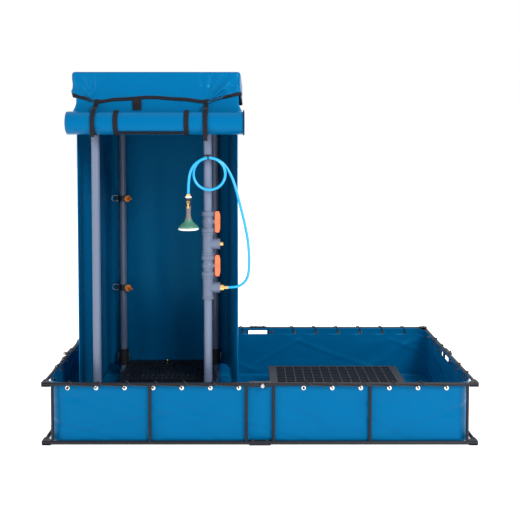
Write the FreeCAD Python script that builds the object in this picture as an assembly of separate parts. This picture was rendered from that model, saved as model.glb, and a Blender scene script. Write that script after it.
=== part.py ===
import FreeCAD, Part
import math
import os
from FreeCAD import Vector

# Emergency shower stall in a folding-frame spill basin. Millimetres, +Z up, +X to the right, +Y to the back.
# The origin is on the floor at the middle of the basin.

# ---------------------------------------------------------------- basin frame
BASIN_LENGTH = 2440.0        # outer length of the long rails, 8 ft
BASIN_DEPTH = 1220.0         # between the centre lines of the long rails, 4 ft
RAIL_R = 10.0
TUBE_WALL = 1.5
POST_R = 8.5
PLATE_T = 2.5
PLUG_L = 5.0                 # end plugs of the rails
TOP_RAIL_Z = 344.0
HINGE_GAP = 4.0              # between the rail ends at a mid hinge
CORNER_GAP = 1.0             # between a short rail and the long rail that it butts
INNER_POST = 76.0            # first post of a panel, from the mid hinge
MIDDLE_POST = 616.0          # second post of a long panel
OUTER_POST_INSET = 60.0      # last post of a long panel, from the rail end
SIDE_POST_INSET = 190.0      # last post of a short panel, from the rail end
CORNER_REACH = 50.0          # side of a corner plate
CORNER_BOLT_INSET = 20.0     # corner bolt, from the rail end
HINGE_HALF = 60.0
HINGE_BOLT_U = 40.0
BOLT_R = 4.0
BOLT_HEAD_R = 7.0
BOLT_HEAD_T = 5.0
FIT = 0.05                   # radial clearance of pins, bolts, shafts and pipes in their holes
REST_GAP = 0.3               # clearance of a moving or soft piece at its seat

# ---------------------------------------------------------------- lock plungers
PLUNGER_U = 14.0
PLUNGER_R = 4.0
PLUNGER_IN = 6.0             # how far the tip reaches into the rail
SLEEVE_R = 7.5
SLEEVE_L = 12.0
KNOB_R = 11.0
KNOB_L = 14.0

# ---------------------------------------------------------------- liner, grommets, lacing
LINER_T = 2.0
LINER_FLOOR = 3.0
LINER_TOP = TOP_RAIL_Z + 5.0
LINER_CORNER = 60.0
LINER_BACKOFF = 3.3          # liner face to rail surface
SLOT_LENGTH = 140.0
SLOT_BOTTOM = TOP_RAIL_Z - 38.0
SLOT_TOP = TOP_RAIL_Z - 12.0
GROMMET_Z = TOP_RAIL_Z - 26.0
GROMMET_R = 12.0
GROMMET_BORE = 3.7
GROMMET_NECK = 7.45
GROMMET_LIP = 1.0
LACE_R = 3.0
LACE_SLACK = 0.7             # between the cord and the rail it goes over
KNOT_R = 6.5
LONG_PITCH = 160.0
SHORT_PITCH = 160.0

# ---------------------------------------------------------------- decks
DECK_LENGTH = 0.719 * BASIN_DEPTH
DECK_WIDTH = 568.0
DECK_TOP = 145.0
DECK_T = 12.0
DECK_SKIRT_T = 12.0
DECK_SKIRT_DEPTH = 28.0
DECK_MARGIN = 20.0
DECK_RIB = 6.0
CELL_LONG = 60.0
CELL_SHORT = 33.0
FOOT_R = 24.0
FOOT_INSET = 60.0
LEFT_DECK_X = -905.0         # left edge of the left deck, which is turned a quarter
LEFT_DECK_Y = BASIN_DEPTH / 2 - 108.0 - DECK_LENGTH
RIGHT_DECK_X = 72.0
RIGHT_DECK_Y = -205.0

# ---------------------------------------------------------------- stall pipes
PIPE_R = 24.15               # 1.5 in pipe
PIPE_WALL = 3.7
FITTING_R = PIPE_R + 5.85
FITTING_REACH = FITTING_R + 25.0
SOCKET_BOTTOM = PIPE_R + 1.85 # past the side of a pipe that comes in square
WATERWAY_R = 20.0
STALL_LEFT = -944.0
STALL_RIGHT = -299.0
STALL_FRONT = -433.0
STALL_REAR = BASIN_DEPTH / 2 - 147.0
TOP_PIPE_Z = 2060.0
COUPLER_R = PIPE_R + 8.85
COUPLER_Z = 130.0
COUPLER_L = 110.0
PIPE_JOINT_Z = 185.0         # where a post stands on its base nipple, inside the coupler
ARM_PIVOT_Z = 168.0
ARM_PIVOT_R = PIPE_R + 13.85
ARM_LENGTH = 44.0
ARM_HALF_WIDTH = 7.7
ARM_HALF_T = 3.5
ARM_NOSE_R = 4.6
CAM_PIN_R = 3.0
LUG_T = 4.0
LUG_REACH = ARM_PIVOT_R + 5.0
BASE_NOZZLE_R = 11.0
BASE_STEM_R = 8.0
BASE_NOZZLE_TOP = 163.0

# ---------------------------------------------------------------- riser with its two ball valves
TEE_R = PIPE_R + 6.35
TEE_L = 134.0
VALVE_L = 120.0
VALVE_R = PIPE_R + 9.35       # union nuts and the round middle
VALVE_NUT_L = 26.0
VALVE_END_R = PIPE_R + 4.35
RISER_TEE_Z = 786.0          # underside of the lower tee
BRANCH_REACH = 70.5
RISER_SOCKET = 25.0
BALL_R = 22.0
BALL_BORE = 15.0
STEM_R = 6.0
NECK_R = 14.0
NECK_REACH = 40.0
HANDLE_HUB_R = 11.0
HANDLE_NEAR = 41.5
STEM_END = 56.0
HANDLE_FAR = 71.0
HANDLE_LENGTH = 121.0
HANDLE_HALF_T = 7.0
HANDLE_NOTCH = 6.0           # corner cuts of the handle
HANDLE_SHOULDER = 24.0       # length of its tapered ends
ADAPTER_SHOULDER_R = 22.0
HOSE_FITTING_END = 117.0
INLET_R = 13.5               # 3/4 in garden hose thread, male
INLET_LENGTH = 18.0

# ---------------------------------------------------------------- spray nozzles on the rear left post
CLAMP_R = PIPE_R + 7.85
CLAMP_HEIGHT = 40.0
NOZZLE_HEIGHTS = {"upper": 1299.0, "lower": 675.0}
NOZZLE_BOSS_R = 14.0
NOZZLE_BOSS_END = 46.0
SPIGOT_R = 8.0
SPIGOT_L = 10.0
CAP_R = 23.0
CAP_L = 14.0
TIP_R = 10.0
TIP_END_R = 6.0
TIP_L = 38.0
BAIL_PIVOT_R = CLAMP_R + 4.0
BAIL_WIRE_R = 2.0
BAIL_REACH = 40.0
BAIL_HALF_HEIGHT = 20.0
EAR_HALF_HEIGHT = 14.0

# ---------------------------------------------------------------- tarpaulins
SHEET_T = 2.0
CURTAIN_REAR = BASIN_DEPTH / 2 - 88.0
CURTAIN_LINE = [(-1055.0, -405.0), (-1034.0, CURTAIN_REAR), (-209.0, CURTAIN_REAR), (-129.0, -405.0)]
CURTAIN_BOTTOM = 110.0
ROOF_LEFT = -1068.0
ROOF_RIGHT = -109.0
ROOF_FRONT = -477.0
ROOF_REAR = BASIN_DEPTH / 2 - 75.0
VALANCE_Z = TOP_PIPE_Z - 120.0
ROLL_R = 69.0
ROLL_Y = -540.0
ROLL_Z = TOP_PIPE_Z - 258.0
ROLL_LEFT = -1077.0
ROLL_RIGHT = -86.0
FLAP_INSET = 8.0
STRAP_W = 25.0
STRAP_XS = (-925.0, -303.0)
STRAP_TAIL_ZS = (TOP_PIPE_Z - 338.0, TOP_PIPE_Z - 360.0)
STRAP_TOP_Z = TOP_PIPE_Z - 125.0
STRAP_BREAK_Z = TOP_PIPE_Z - 148.0
BUCKLE_W = 36.0
BUCKLE_H = 24.0
BUCKLE_T = 5.0
BUCKLE_ALONG = 14.0          # up the sloping stretch of the strap

# ---------------------------------------------------------------- hose and handset
HOSE_R = 8.0
LOOP_X = -287.0
LOOP_Z = 1513.0
LOOP_R = 94.0
LOOP_SPREAD = 14.0           # how much wider the loop is where the hose comes in and leaves
LOOP_SPREAD_DEGREES = 60.0   # over this much of a turn
LOOP_COUNT = 18
LOOP_Y = -469.0
LOOP_STEP = 30.0             # degrees between the points of the loop
LOOP_RISE = 17.5             # sideways step of one turn, a little over a hose diameter
HANDSET_X = -405.0
HANDSET_Y = -500.0
HANDSET_TOP = 1399.0
NUT_L = 22.0
NUT_R = 14.0
SHUTOFF_L = 46.0
SHUTOFF_R = 15.0
GRIP_L = 76.0
BELL_R = 58.0
BELL_L = 59.0
LEVER_R = 4.0
LEVER_T = 6.0
LEVER_HUB_R = 8.0
LEVER_STUB_R = 5.0
LEVER_LENGTH = 30.0
SHUTOFF_BORE_R = 5.5
TIE_X = -293.0
TIE_W = 8.0
TIE_T = 2.0
TIE_GAP = 0.6                # round the bent strands

# Points of the hose before its loop, chosen by hand: out of the fitting, round, up beside the riser.
HOSE_START = [
    (-182, -433, 853), (-138, -433, 853), (-98, -439, 872), (-70, -446, 908), (-60, -456, 967),
    (-60, -474, 1043), (-67, -485, 1135), (-88, -486, 1240), (-113, -480, 1340), (-135, -474, 1425),
    (-153, -469, 1480),
]
# Points of the hose after its loop: down to the handset.
HOSE_END = [(-405, -500, 1468), (-405, -500, 1399)]

# ---------------------------------------------------------------- derived places
BOTTOM_RAIL_Z = RAIL_R + PLATE_T
RAIL_Y = BASIN_DEPTH / 2
LONG_HALF = BASIN_LENGTH / 2
RAIL_X = LONG_HALF - RAIL_R - 0.3
SHORT_HALF = RAIL_Y - RAIL_R - CORNER_GAP
LINER_Y = RAIL_Y - RAIL_R - LINER_BACKOFF
LINER_X = RAIL_X - RAIL_R - LINER_BACKOFF
OUTER_POST = LONG_HALF - OUTER_POST_INSET
SIDE_POST = SHORT_HALF - SIDE_POST_INSET
BASE_Z = LINER_FLOOR + FITTING_R
DECK_PLATE_BOTTOM = DECK_TOP - DECK_T
ROOF_UNDER = TOP_PIPE_Z + FITTING_R + REST_GAP
STALL_CORNERS = [
    (STALL_LEFT, STALL_FRONT), (STALL_RIGHT, STALL_FRONT), (STALL_LEFT, STALL_REAR), (STALL_RIGHT, STALL_REAR),
]
LOWER_VALVE_Z = RISER_TEE_Z + TEE_L + VALVE_L / 2
UPPER_TEE_Z = RISER_TEE_Z + TEE_L + VALVE_L
UPPER_VALVE_Z = UPPER_TEE_Z + TEE_L + VALVE_L / 2
VALVE_HEIGHTS = {"lower": LOWER_VALVE_Z, "upper": UPPER_VALVE_Z}

UP = Vector(0, 0, 1)
RIGHT = Vector(1, 0, 0)
BACK = Vector(0, 1, 0)

# Each side is drawn as the front one, with its outside towards -Y, and turned about the origin.
SIDES = {
    "front": {"turn": 0, "reach": RAIL_Y, "half": LONG_HALF, "posts": (INNER_POST, MIDDLE_POST, OUTER_POST)},
    "right": {"turn": 90, "reach": RAIL_X, "half": SHORT_HALF, "posts": (INNER_POST, SIDE_POST)},
    "rear": {"turn": 180, "reach": RAIL_Y, "half": LONG_HALF, "posts": (INNER_POST, MIDDLE_POST, OUTER_POST)},
    "left": {"turn": 270, "reach": RAIL_X, "half": SHORT_HALF, "posts": (INNER_POST, SIDE_POST)},
}
# First grommet and number of grommets of each laced run, along the side from its left end.
LACED_RUNS = {
    "front": [(-1078.0, 7), (245.0, 6)],
    "right": [(-440.0, 3), (120.0, 3)],
    "rear": [(-1063.0, 7), (103.0, 7)],
    "left": [(-440.0, 3), (120.0, 3)],
}
LACE_PITCH = {"front": LONG_PITCH, "rear": LONG_PITCH, "left": SHORT_PITCH, "right": SHORT_PITCH}
SLOTTED_SIDES = ("rear", "right")
HALF_NAMES = {
    "front": ("front_left", "front_right"),
    "right": ("right_front", "right_rear"),
    "rear": ("rear_right", "rear_left"),
    "left": ("left_rear", "left_front"),
}


# ================================================================ drawing helpers
def block(x0, x1, y0, y1, z0, z1):
    """A box between two corners, given in any order."""
    low = Vector(min(x0, x1), min(y0, y1), min(z0, z1))
    return Part.makeBox(abs(x1 - x0), abs(y1 - y0), abs(z1 - z0), low)


def rod(start, end, radius):
    """A round bar between two points."""
    axis = end - start
    return Part.makeCylinder(radius, axis.Length, start, axis)


def pipe(start, end, outer, inner):
    """A round tube between two points."""
    return rod(start, end, outer).cut(rod(start, end, inner))


def taper(start, end, first_radius, last_radius):
    """A cone frustum between two points."""
    axis = end - start
    return Part.makeCone(first_radius, last_radius, axis.Length, start, axis)


def fuse_all(shapes):
    """One solid from shapes that meet."""
    return shapes[0].multiFuse(shapes[1:]).removeSplitter()


def prism(points, z0, z1):
    """A polygon in plan, raised from z0 to z1."""
    corners = [Vector(x, y, z0) for x, y in points]
    face = Part.Face(Part.makePolygon(corners + corners[:1]))
    return face.extrude(Vector(0, 0, z1 - z0))


def turned(shape, degrees):
    """A copy turned about the vertical through the origin."""
    copy = shape.copy()
    copy.rotate(Vector(0, 0, 0), UP, degrees)
    return copy


def offset_corner(before, corner, after, distance):
    """A corner of a plan line moved sideways, to the left of its direction, by a distance."""
    directions = []
    for first, second in ((before, corner), (corner, after)):
        if first is None or second is None:
            continue
        length = math.hypot(second[0] - first[0], second[1] - first[1])
        directions.append(((second[0] - first[0]) / length, (second[1] - first[1]) / length))
    normals = [(-y, x) for x, y in directions]
    if len(normals) == 1:
        return corner[0] + normals[0][0] * distance, corner[1] + normals[0][1] * distance
    total = (normals[0][0] + normals[1][0], normals[0][1] + normals[1][1])
    scale = distance * 2 / (total[0] ** 2 + total[1] ** 2)
    return corner[0] + total[0] * scale, corner[1] + total[1] * scale


def standing_sheet(points, thickness, z0, z1, closed):
    """Upright panels along a plan line, mitred where they meet, thickened to the left of the line."""
    count = len(points)
    shifted = []
    for index, corner in enumerate(points):
        before = points[index - 1] if closed or index > 0 else None
        after = points[(index + 1) % count] if closed or index < count - 1 else None
        shifted.append(offset_corner(before, corner, after, thickness))
    panels = []
    for index in range(count if closed else count - 1):
        following = (index + 1) % count
        outline = [points[index], points[following], shifted[following], shifted[index]]
        panels.append(prism(outline, z0, z1))
    return panels


def bend_radius(before, corner, after):
    """Arc radius at a route point: 0.45 of the shorter run over the tangent of half the turn."""
    first = corner - before
    second = after - corner
    half_turn = first.getAngle(second) / 2
    return 0.45 * min(first.Length, second.Length) / math.tan(half_turn)


def rounded_route(points):
    """Straight runs joined by tangent arcs, as one wire."""
    edges = []
    start = points[0]
    for before, corner, after in zip(points, points[1:], points[2:]):
        into = (corner - before).normalize()
        out = (after - corner).normalize()
        half_turn = into.getAngle(out) / 2
        radius = bend_radius(before, corner, after)
        cut_back = radius * math.tan(half_turn)
        arc_start = corner - into * cut_back
        arc_end = corner + out * cut_back
        to_centre = (out - into).normalize()
        middle = corner + to_centre * (radius / math.cos(half_turn) - radius)
        edges.append(Part.LineSegment(start, arc_start).toShape())
        edges.append(Part.Arc(arc_start, middle, arc_end).toShape())
        start = arc_end
    edges.append(Part.LineSegment(start, points[-1]).toShape())
    return Part.Wire(edges)


def round_tube(points, radius):
    """A round solid along a rounded route."""
    route = rounded_route(points)
    first = points[1] - points[0]
    section = Part.Wire(Part.makeCircle(radius, points[0], first))
    return route.makePipeShell([section], True, True)


def export(node, shapes):
    """Writes one node and prints its size."""
    solids = []
    for shape in shapes:
        solids.extend(shape.Solids)
    for solid in solids:
        if not solid.isValid():
            print("INVALID", node)
    shape = Part.makeCompound(solids)
    shape.exportStep("parts/" + node + ".step")
    box = shape.BoundBox
    print("%-20s %3d solids %11.0f mm3  x %.1f..%.1f  y %.1f..%.1f  z %.1f..%.1f" % (
        node, len(solids), shape.Volume, box.XMin, box.XMax, box.YMin, box.YMax, box.ZMin, box.ZMax))


# ================================================================ folding frame
def rail_holes(side, sign):
    """Bolt and plunger holes of the rails of one half side."""
    reach = side["reach"]
    bolt_us = (sign * HINGE_BOLT_U, sign * corner_bolt_u(side))
    holes = []
    for u in bolt_us:
        holes.append(rod(Vector(u, -reach, 0), Vector(u, -reach, LINER_TOP + RAIL_R), BOLT_R + FIT))
    if sign > 0:
        start = Vector(PLUNGER_U, -reach, TOP_RAIL_Z)
        holes.append(rod(start, start - BACK * (RAIL_R + 1), PLUNGER_R + FIT))
    return holes


def corner_bolt_u(side):
    """Where the corner plates are bolted to a rail, along that side."""
    return side["half"] - CORNER_BOLT_INSET


def frame_panel(side, sign):
    """Two rails, their posts and their end plugs, for one half of a side."""
    reach = side["reach"]
    near = sign * HINGE_GAP / 2
    far = sign * side["half"]
    holes = rail_holes(side, sign)
    rail_bars = []
    pieces = []
    for z in (BOTTOM_RAIL_Z, TOP_RAIL_Z):
        start = Vector(near, -reach, z)
        end = Vector(far, -reach, z)
        rail_bars.append(rod(start, end, RAIL_R))
        rail = pipe(start, end, RAIL_R, RAIL_R - TUBE_WALL)
        pieces.append(rail.cut(Part.makeCompound(holes)))
        plug_start = end - RIGHT * (sign * PLUG_L)
        pieces.append(rod(plug_start, end, RAIL_R - TUBE_WALL))
    for post_u in side["posts"]:
        foot = Vector(sign * post_u, -reach, BOTTOM_RAIL_Z)
        head = Vector(sign * post_u, -reach, TOP_RAIL_Z)
        post = pipe(foot, head, POST_R, POST_R - TUBE_WALL)
        for bar in rail_bars:
            post = post.cut(bar)
        pieces.append(largest_solid(post))
    return [turned(piece, side["turn"]) for piece in pieces]


def largest_solid(shape):
    """The biggest solid of a cut, without the scraps inside the rails."""
    return max(shape.Solids, key=lambda solid: solid.Volume)


def corner_plates():
    """Gusset plates above and below both rails of every corner."""
    x_inner = RAIL_X - RAIL_R
    y_inner = RAIL_Y - RAIL_R
    x_outer = RAIL_X + RAIL_R
    y_outer = RAIL_Y + RAIL_R
    x_start = x_outer - CORNER_REACH
    y_start = y_outer - CORNER_REACH
    outline = [
        (x_start, y_outer), (x_outer, y_outer), (x_outer, y_start), (x_inner, y_start), (x_start, y_inner),
    ]
    bolts = [(corner_bolt_u(SIDES["front"]), RAIL_Y), (RAIL_X, corner_bolt_u(SIDES["right"]))]
    plates = []
    for x_sign, y_sign in ((1, 1), (1, -1), (-1, 1), (-1, -1)):
        mirrored = [(x * x_sign, y * y_sign) for x, y in outline]
        for rail_z in (BOTTOM_RAIL_Z, TOP_RAIL_Z):
            for z in (rail_z - RAIL_R - PLATE_T, rail_z + RAIL_R):
                plate = prism(mirrored, z, z + PLATE_T)
                for x, y in bolts:
                    spot = Vector(x * x_sign, y * y_sign, z)
                    plate = plate.cut(rod(spot, spot + UP * PLATE_T, BOLT_R + FIT))
                plates.append(plate)
    return plates


def hinge_channel(side, rail_z, sleeved):
    """The channel that joins two rail ends at mid side, with the plunger sleeve on the upper one."""
    reach = side["reach"]
    inner = -reach + RAIL_R
    web = -reach - RAIL_R
    low = rail_z - RAIL_R
    high = rail_z + RAIL_R
    parts = [
        block(-HINGE_HALF, HINGE_HALF, web - PLATE_T, inner, low - PLATE_T, low),
        block(-HINGE_HALF, HINGE_HALF, web - PLATE_T, inner, high, high + PLATE_T),
        block(-HINGE_HALF, HINGE_HALF, web - PLATE_T, web, low, high),
    ]
    holes = []
    for u in (-HINGE_BOLT_U, HINGE_BOLT_U):
        spot = Vector(u, -reach, low - PLATE_T)
        holes.append(rod(spot, spot + UP * (2 * (RAIL_R + PLATE_T)), BOLT_R + FIT))
    if sleeved:
        seat = Vector(PLUNGER_U, web - PLATE_T, rail_z)
        parts.append(rod(seat, seat - BACK * SLEEVE_L, SLEEVE_R))
        holes.append(rod(seat + BACK * PLATE_T, seat - BACK * SLEEVE_L, PLUNGER_R + FIT))
    channel = fuse_all(parts)
    for hole in holes:
        channel = channel.cut(hole)
    return turned(channel, side["turn"])


def hinge_channels():
    """Upper and lower mid hinge of every side."""
    channels = []
    for side in SIDES.values():
        channels.append(hinge_channel(side, BOTTOM_RAIL_Z, False))
        channels.append(hinge_channel(side, TOP_RAIL_Z, True))
    return channels


def hinge_bolt(x, y, rail_z):
    """A round-headed bolt down through two plates and the rail between them."""
    head_seat = Vector(x, y, rail_z + RAIL_R + PLATE_T)
    shank_end = Vector(x, y, rail_z - RAIL_R - PLATE_T + 0.5)
    shank = rod(shank_end, head_seat, BOLT_R)
    head = taper(head_seat, head_seat + UP * BOLT_HEAD_T, BOLT_HEAD_R, BOLT_HEAD_R * 0.6)
    return shank.fuse(head)


def hinge_bolts():
    """Bolts of the corner plates and the mid hinges."""
    bolts = []
    for side in SIDES.values():
        for u in (HINGE_BOLT_U, corner_bolt_u(side)):
            for sign in (-1, 1):
                for rail_z in (BOTTOM_RAIL_Z, TOP_RAIL_Z):
                    bolts.append(turned(hinge_bolt(sign * u, -side["reach"], rail_z), side["turn"]))
    return bolts


def lock_knob(side):
    """Pull knob with its plunger, through the sleeve, the channel and the rail wall."""
    rail_face = -side["reach"] - RAIL_R
    tip = Vector(PLUNGER_U, rail_face + PLUNGER_IN, TOP_RAIL_Z)
    knob_seat = Vector(PLUNGER_U, rail_face - PLATE_T - SLEEVE_L - REST_GAP, TOP_RAIL_Z)
    knob_end = knob_seat - BACK * KNOB_L
    shaft = rod(tip, knob_seat, PLUNGER_R)
    knob = rod(knob_seat, knob_end, KNOB_R)
    rims = [edge for edge in knob.Edges if edge.Closed and abs(edge.CenterOfMass.y - knob_end.y) < 0.01]
    knob = knob.makeFillet(3.0, rims)
    return turned(shaft.fuse(knob), side["turn"])


# ================================================================ liner, grommets, lacing
def liner_outline():
    """Plan of the liner's outside, with cut corners, from the front left, counter-clockwise."""
    x = LINER_X
    y = LINER_Y
    cut = LINER_CORNER
    return [
        (-x + cut, -y), (x - cut, -y), (x, -y + cut), (x, y - cut),
        (x - cut, y), (-x + cut, y), (-x, y - cut), (-x, -y + cut),
    ]


def grommet_spots(name):
    """Places of the grommets of one side, on the liner's outer face, before turning."""
    side = SIDES[name]
    face = -(side["reach"] - RAIL_R - LINER_BACKOFF)
    runs = []
    for first, count in LACED_RUNS[name]:
        runs.append([Vector(first + LACE_PITCH[name] * k, face, GROMMET_Z) for k in range(count)])
    return runs


def slot_cutters(name):
    """Boxes left of, right of, under and over the hand slot of a side, which cut its wall into plain pieces."""
    far = SIDES[name]["half"]
    near_y = -SIDES[name]["reach"]
    half = SLOT_LENGTH / 2
    boxes = [
        block(-far, -half, near_y, 0, 0, LINER_TOP),
        block(half, far, near_y, 0, 0, LINER_TOP),
        block(-half, half, near_y, 0, 0, SLOT_BOTTOM),
        block(-half, half, near_y, 0, SLOT_TOP, LINER_TOP),
    ]
    return [turned(box, SIDES[name]["turn"]) for box in boxes]


def basin_liner():
    """Floor sheet and upright walls with their grommet holes and hand slots."""
    outline = liner_outline()
    walls = standing_sheet(outline, LINER_T, LINER_FLOOR, LINER_TOP, True)
    side_walls = {"front": walls[0], "right": walls[2], "rear": walls[4], "left": walls[6]}
    pieces = [prism(outline, 0, LINER_FLOOR)] + walls[1::2]
    for name, wall in side_walls.items():
        holes = []
        for run in grommet_spots(name):
            for spot in run:
                hole = rod(spot - BACK, spot + BACK * (LINER_T + 1), GROMMET_NECK + FIT)
                holes.append(turned(hole, SIDES[name]["turn"]))
        wall = wall.cut(Part.makeCompound(holes))
        if name in SLOTTED_SIDES:
            pieces.extend(wall.common(cutter) for cutter in slot_cutters(name))
        else:
            pieces.append(wall)
    return pieces


def grommet(spot):
    """A two-lipped ring through the liner wall."""
    outside = spot - BACK * GROMMET_LIP
    inside = spot + BACK * (LINER_T + GROMMET_LIP)
    ring = fuse_all([
        rod(outside, spot, GROMMET_R),
        rod(spot, spot + BACK * LINER_T, GROMMET_NECK),
        rod(spot + BACK * LINER_T, inside, GROMMET_R),
    ])
    return ring.cut(rod(outside, inside, GROMMET_BORE))


def lace_stitch(pitch):
    """One wrap of the lacing: in through a grommet, up, over the rail and along to the next grommet.

    Drawn from a grommet centre on the liner's outer face: x along the side, y inward, z up.
    """
    over = TOP_RAIL_Z - GROMMET_Z
    rail_in = -(RAIL_R + LINER_BACKOFF)
    top = over + RAIL_R + LACE_R + LACE_SLACK
    outer = rail_in - RAIL_R - LACE_R - LACE_SLACK
    middle = LINER_T / 2
    points = [
        Vector(0, middle, 0),
        Vector(0, middle + 13, 0),
        Vector(5, middle + 9, over + 1),
        Vector(9, middle + 1, top),
        Vector(16, rail_in - 1, top + 0.5),
        Vector(26, outer + 3, over + 11),
        Vector(34, outer, over - 1),
        Vector(pitch - 8, outer + 1.5, over - 8),
        Vector(pitch - 1, outer + 8, over - 19),
        Vector(pitch, middle - 11, 0),
        Vector(pitch, middle, 0),
    ]
    return round_tube(points, LACE_R)


def lacing_cord():
    """Stitches of every laced run, with a knot outside its first grommet and inside its last."""
    pieces = []
    for name, side in SIDES.items():
        stitch = lace_stitch(LACE_PITCH[name])
        for run in grommet_spots(name):
            for spot in run[:-1]:
                copy = stitch.copy()
                copy.translate(spot)
                pieces.append(turned(copy, side["turn"]))
            for spot, direction in ((run[0], -1), (run[-1], 1)):
                middle = spot + BACK * (LINER_T / 2)
                knot_middle = middle + BACK * direction * (LINER_T / 2 + GROMMET_LIP + KNOT_R)
                stub = rod(middle, knot_middle, LACE_R)
                knot = Part.makeSphere(KNOT_R, knot_middle)
                pieces.append(turned(stub.fuse(knot), side["turn"]))
    return pieces


# ================================================================ decks
def grid_plate(x0, y0, size_x, size_y, cell_x, cell_y):
    """A flat plate with a field of rectangular holes."""
    z = DECK_PLATE_BOTTOM
    outline = [(x0, y0), (x0 + size_x, y0), (x0 + size_x, y0 + size_y), (x0, y0 + size_y)]
    columns = int((size_x - 2 * DECK_MARGIN) // cell_x)
    rows = int((size_y - 2 * DECK_MARGIN) // cell_y)
    first_x = x0 + (size_x - columns * cell_x) / 2
    first_y = y0 + (size_y - rows * cell_y) / 2
    wires = [Part.makePolygon([Vector(x, y, z) for x, y in outline + outline[:1]])]
    for column in range(columns):
        for row in range(rows):
            left = first_x + column * cell_x + DECK_RIB / 2
            front = first_y + row * cell_y + DECK_RIB / 2
            right = left + cell_x - DECK_RIB
            rear = front + cell_y - DECK_RIB
            hole = [(left, front), (left, rear), (right, rear), (right, front), (left, front)]
            wires.append(Part.makePolygon([Vector(x, y, z) for x, y in hole]))
    face = Part.Face(wires)
    return face.extrude(Vector(0, 0, DECK_T))


def deck(x0, y0, size_x, size_y, cell_x, cell_y, feet, foot_z):
    """A moulded grid deck: grid plate, four clip-on edge strips and plug-in feet."""
    skirt_bottom = DECK_PLATE_BOTTOM - DECK_SKIRT_DEPTH
    x1 = x0 + size_x
    y1 = y0 + size_y
    pieces = [grid_plate(x0, y0, size_x, size_y, cell_x, cell_y)]
    for near_y in (y0, y1 - DECK_SKIRT_T):
        pieces.append(block(x0, x1, near_y, near_y + DECK_SKIRT_T, skirt_bottom, DECK_PLATE_BOTTOM))
    for near_x in (x0, x1 - DECK_SKIRT_T):
        pieces.append(block(near_x, near_x + DECK_SKIRT_T, y0 + DECK_SKIRT_T, y1 - DECK_SKIRT_T,
                            skirt_bottom, DECK_PLATE_BOTTOM))
    for x, y in feet:
        pieces.append(taper(Vector(x, y, foot_z), Vector(x, y, DECK_PLATE_BOTTOM), FOOT_R * 1.2, FOOT_R))
    return pieces


def left_deck():
    """The deck inside the stall, turned a quarter, with a hole for the base nozzle."""
    x_feet = (LEFT_DECK_X + FOOT_INSET, LEFT_DECK_X + DECK_WIDTH - FOOT_INSET)
    last_row = STALL_REAR - FITTING_R - FOOT_R * 1.2 - 5
    first_row = LEFT_DECK_Y + FOOT_INSET
    y_feet = (first_row, (first_row + last_row) / 2, last_row)
    feet = [(x, y) for x in x_feet for y in y_feet]
    pieces = deck(LEFT_DECK_X, LEFT_DECK_Y, DECK_WIDTH, DECK_LENGTH, CELL_SHORT, CELL_LONG, feet, LINER_FLOOR)
    nozzle = Vector(base_nozzle_x(), STALL_REAR, 0)
    pieces[0] = pieces[0].cut(rod(nozzle, nozzle + UP * (DECK_TOP + 1), BASE_NOZZLE_R + 2.5))
    return pieces


def right_deck():
    """The deck beside the stall, which lifts out."""
    x_feet = [RIGHT_DECK_X + FOOT_INSET, RIGHT_DECK_X + DECK_LENGTH / 2, RIGHT_DECK_X + DECK_LENGTH - FOOT_INSET]
    y_feet = [RIGHT_DECK_Y + FOOT_INSET, RIGHT_DECK_Y + DECK_WIDTH - FOOT_INSET]
    feet = [(x, y) for x in x_feet for y in y_feet]
    foot_z = LINER_FLOOR + REST_GAP
    return deck(RIGHT_DECK_X, RIGHT_DECK_Y, DECK_LENGTH, DECK_WIDTH, CELL_LONG, CELL_SHORT, feet, foot_z)


# ================================================================ stall pipes
def base_nozzle_x():
    """The base nozzle rises through a cell of the left deck, near the middle of the rear pipe."""
    columns = int((DECK_WIDTH - 2 * DECK_MARGIN) // CELL_SHORT)
    first = LEFT_DECK_X + (DECK_WIDTH - columns * CELL_SHORT) / 2
    return first + (columns // 2 - 0.5) * CELL_SHORT


def stall_pipe(start, end):
    """A length of the stall's pipe."""
    return pipe(start, end, PIPE_R, PIPE_R - PIPE_WALL)


def socket_fitting(centre, directions, reach):
    """An elbow or tee: one socket in each direction, a round middle and a waterway."""
    shapes = [Part.makeSphere(FITTING_R, centre)]
    shapes += [rod(centre, centre + way * reach, FITTING_R) for way in directions]
    fitting = fuse_all(shapes)
    for way in directions:
        socket_start = centre + way * SOCKET_BOTTOM
        mouth = centre + way * reach
        fitting = fitting.cut(rod(socket_start, mouth, PIPE_R + FIT))
        fitting = fitting.cut(rod(centre, socket_start, PIPE_R - PIPE_WALL))
    return fitting


def corner_ways(x, y):
    """The two level directions from a stall corner to its neighbours."""
    x_way = RIGHT if x == STALL_LEFT else RIGHT * -1
    y_way = BACK if y == STALL_FRONT else BACK * -1
    return [x_way, y_way]


def ring_pipes(z, rear_break):
    """The four level pipes between the corner fittings, the rear one in two where a tee breaks it."""
    left = STALL_LEFT + SOCKET_BOTTOM
    right = STALL_RIGHT - SOCKET_BOTTOM
    front = STALL_FRONT + SOCKET_BOTTOM
    rear = STALL_REAR - SOCKET_BOTTOM
    pipes = [
        stall_pipe(Vector(left, STALL_FRONT, z), Vector(right, STALL_FRONT, z)),
        stall_pipe(Vector(STALL_LEFT, front, z), Vector(STALL_LEFT, rear, z)),
        stall_pipe(Vector(STALL_RIGHT, front, z), Vector(STALL_RIGHT, rear, z)),
    ]
    if rear_break is None:
        pipes.append(stall_pipe(Vector(left, STALL_REAR, z), Vector(right, STALL_REAR, z)))
    else:
        tee_left = Vector(rear_break - SOCKET_BOTTOM, STALL_REAR, z)
        tee_right = Vector(rear_break + SOCKET_BOTTOM, STALL_REAR, z)
        pipes.append(stall_pipe(Vector(left, STALL_REAR, z), tee_left))
        pipes.append(stall_pipe(tee_right, Vector(right, STALL_REAR, z)))
    return pipes


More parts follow.
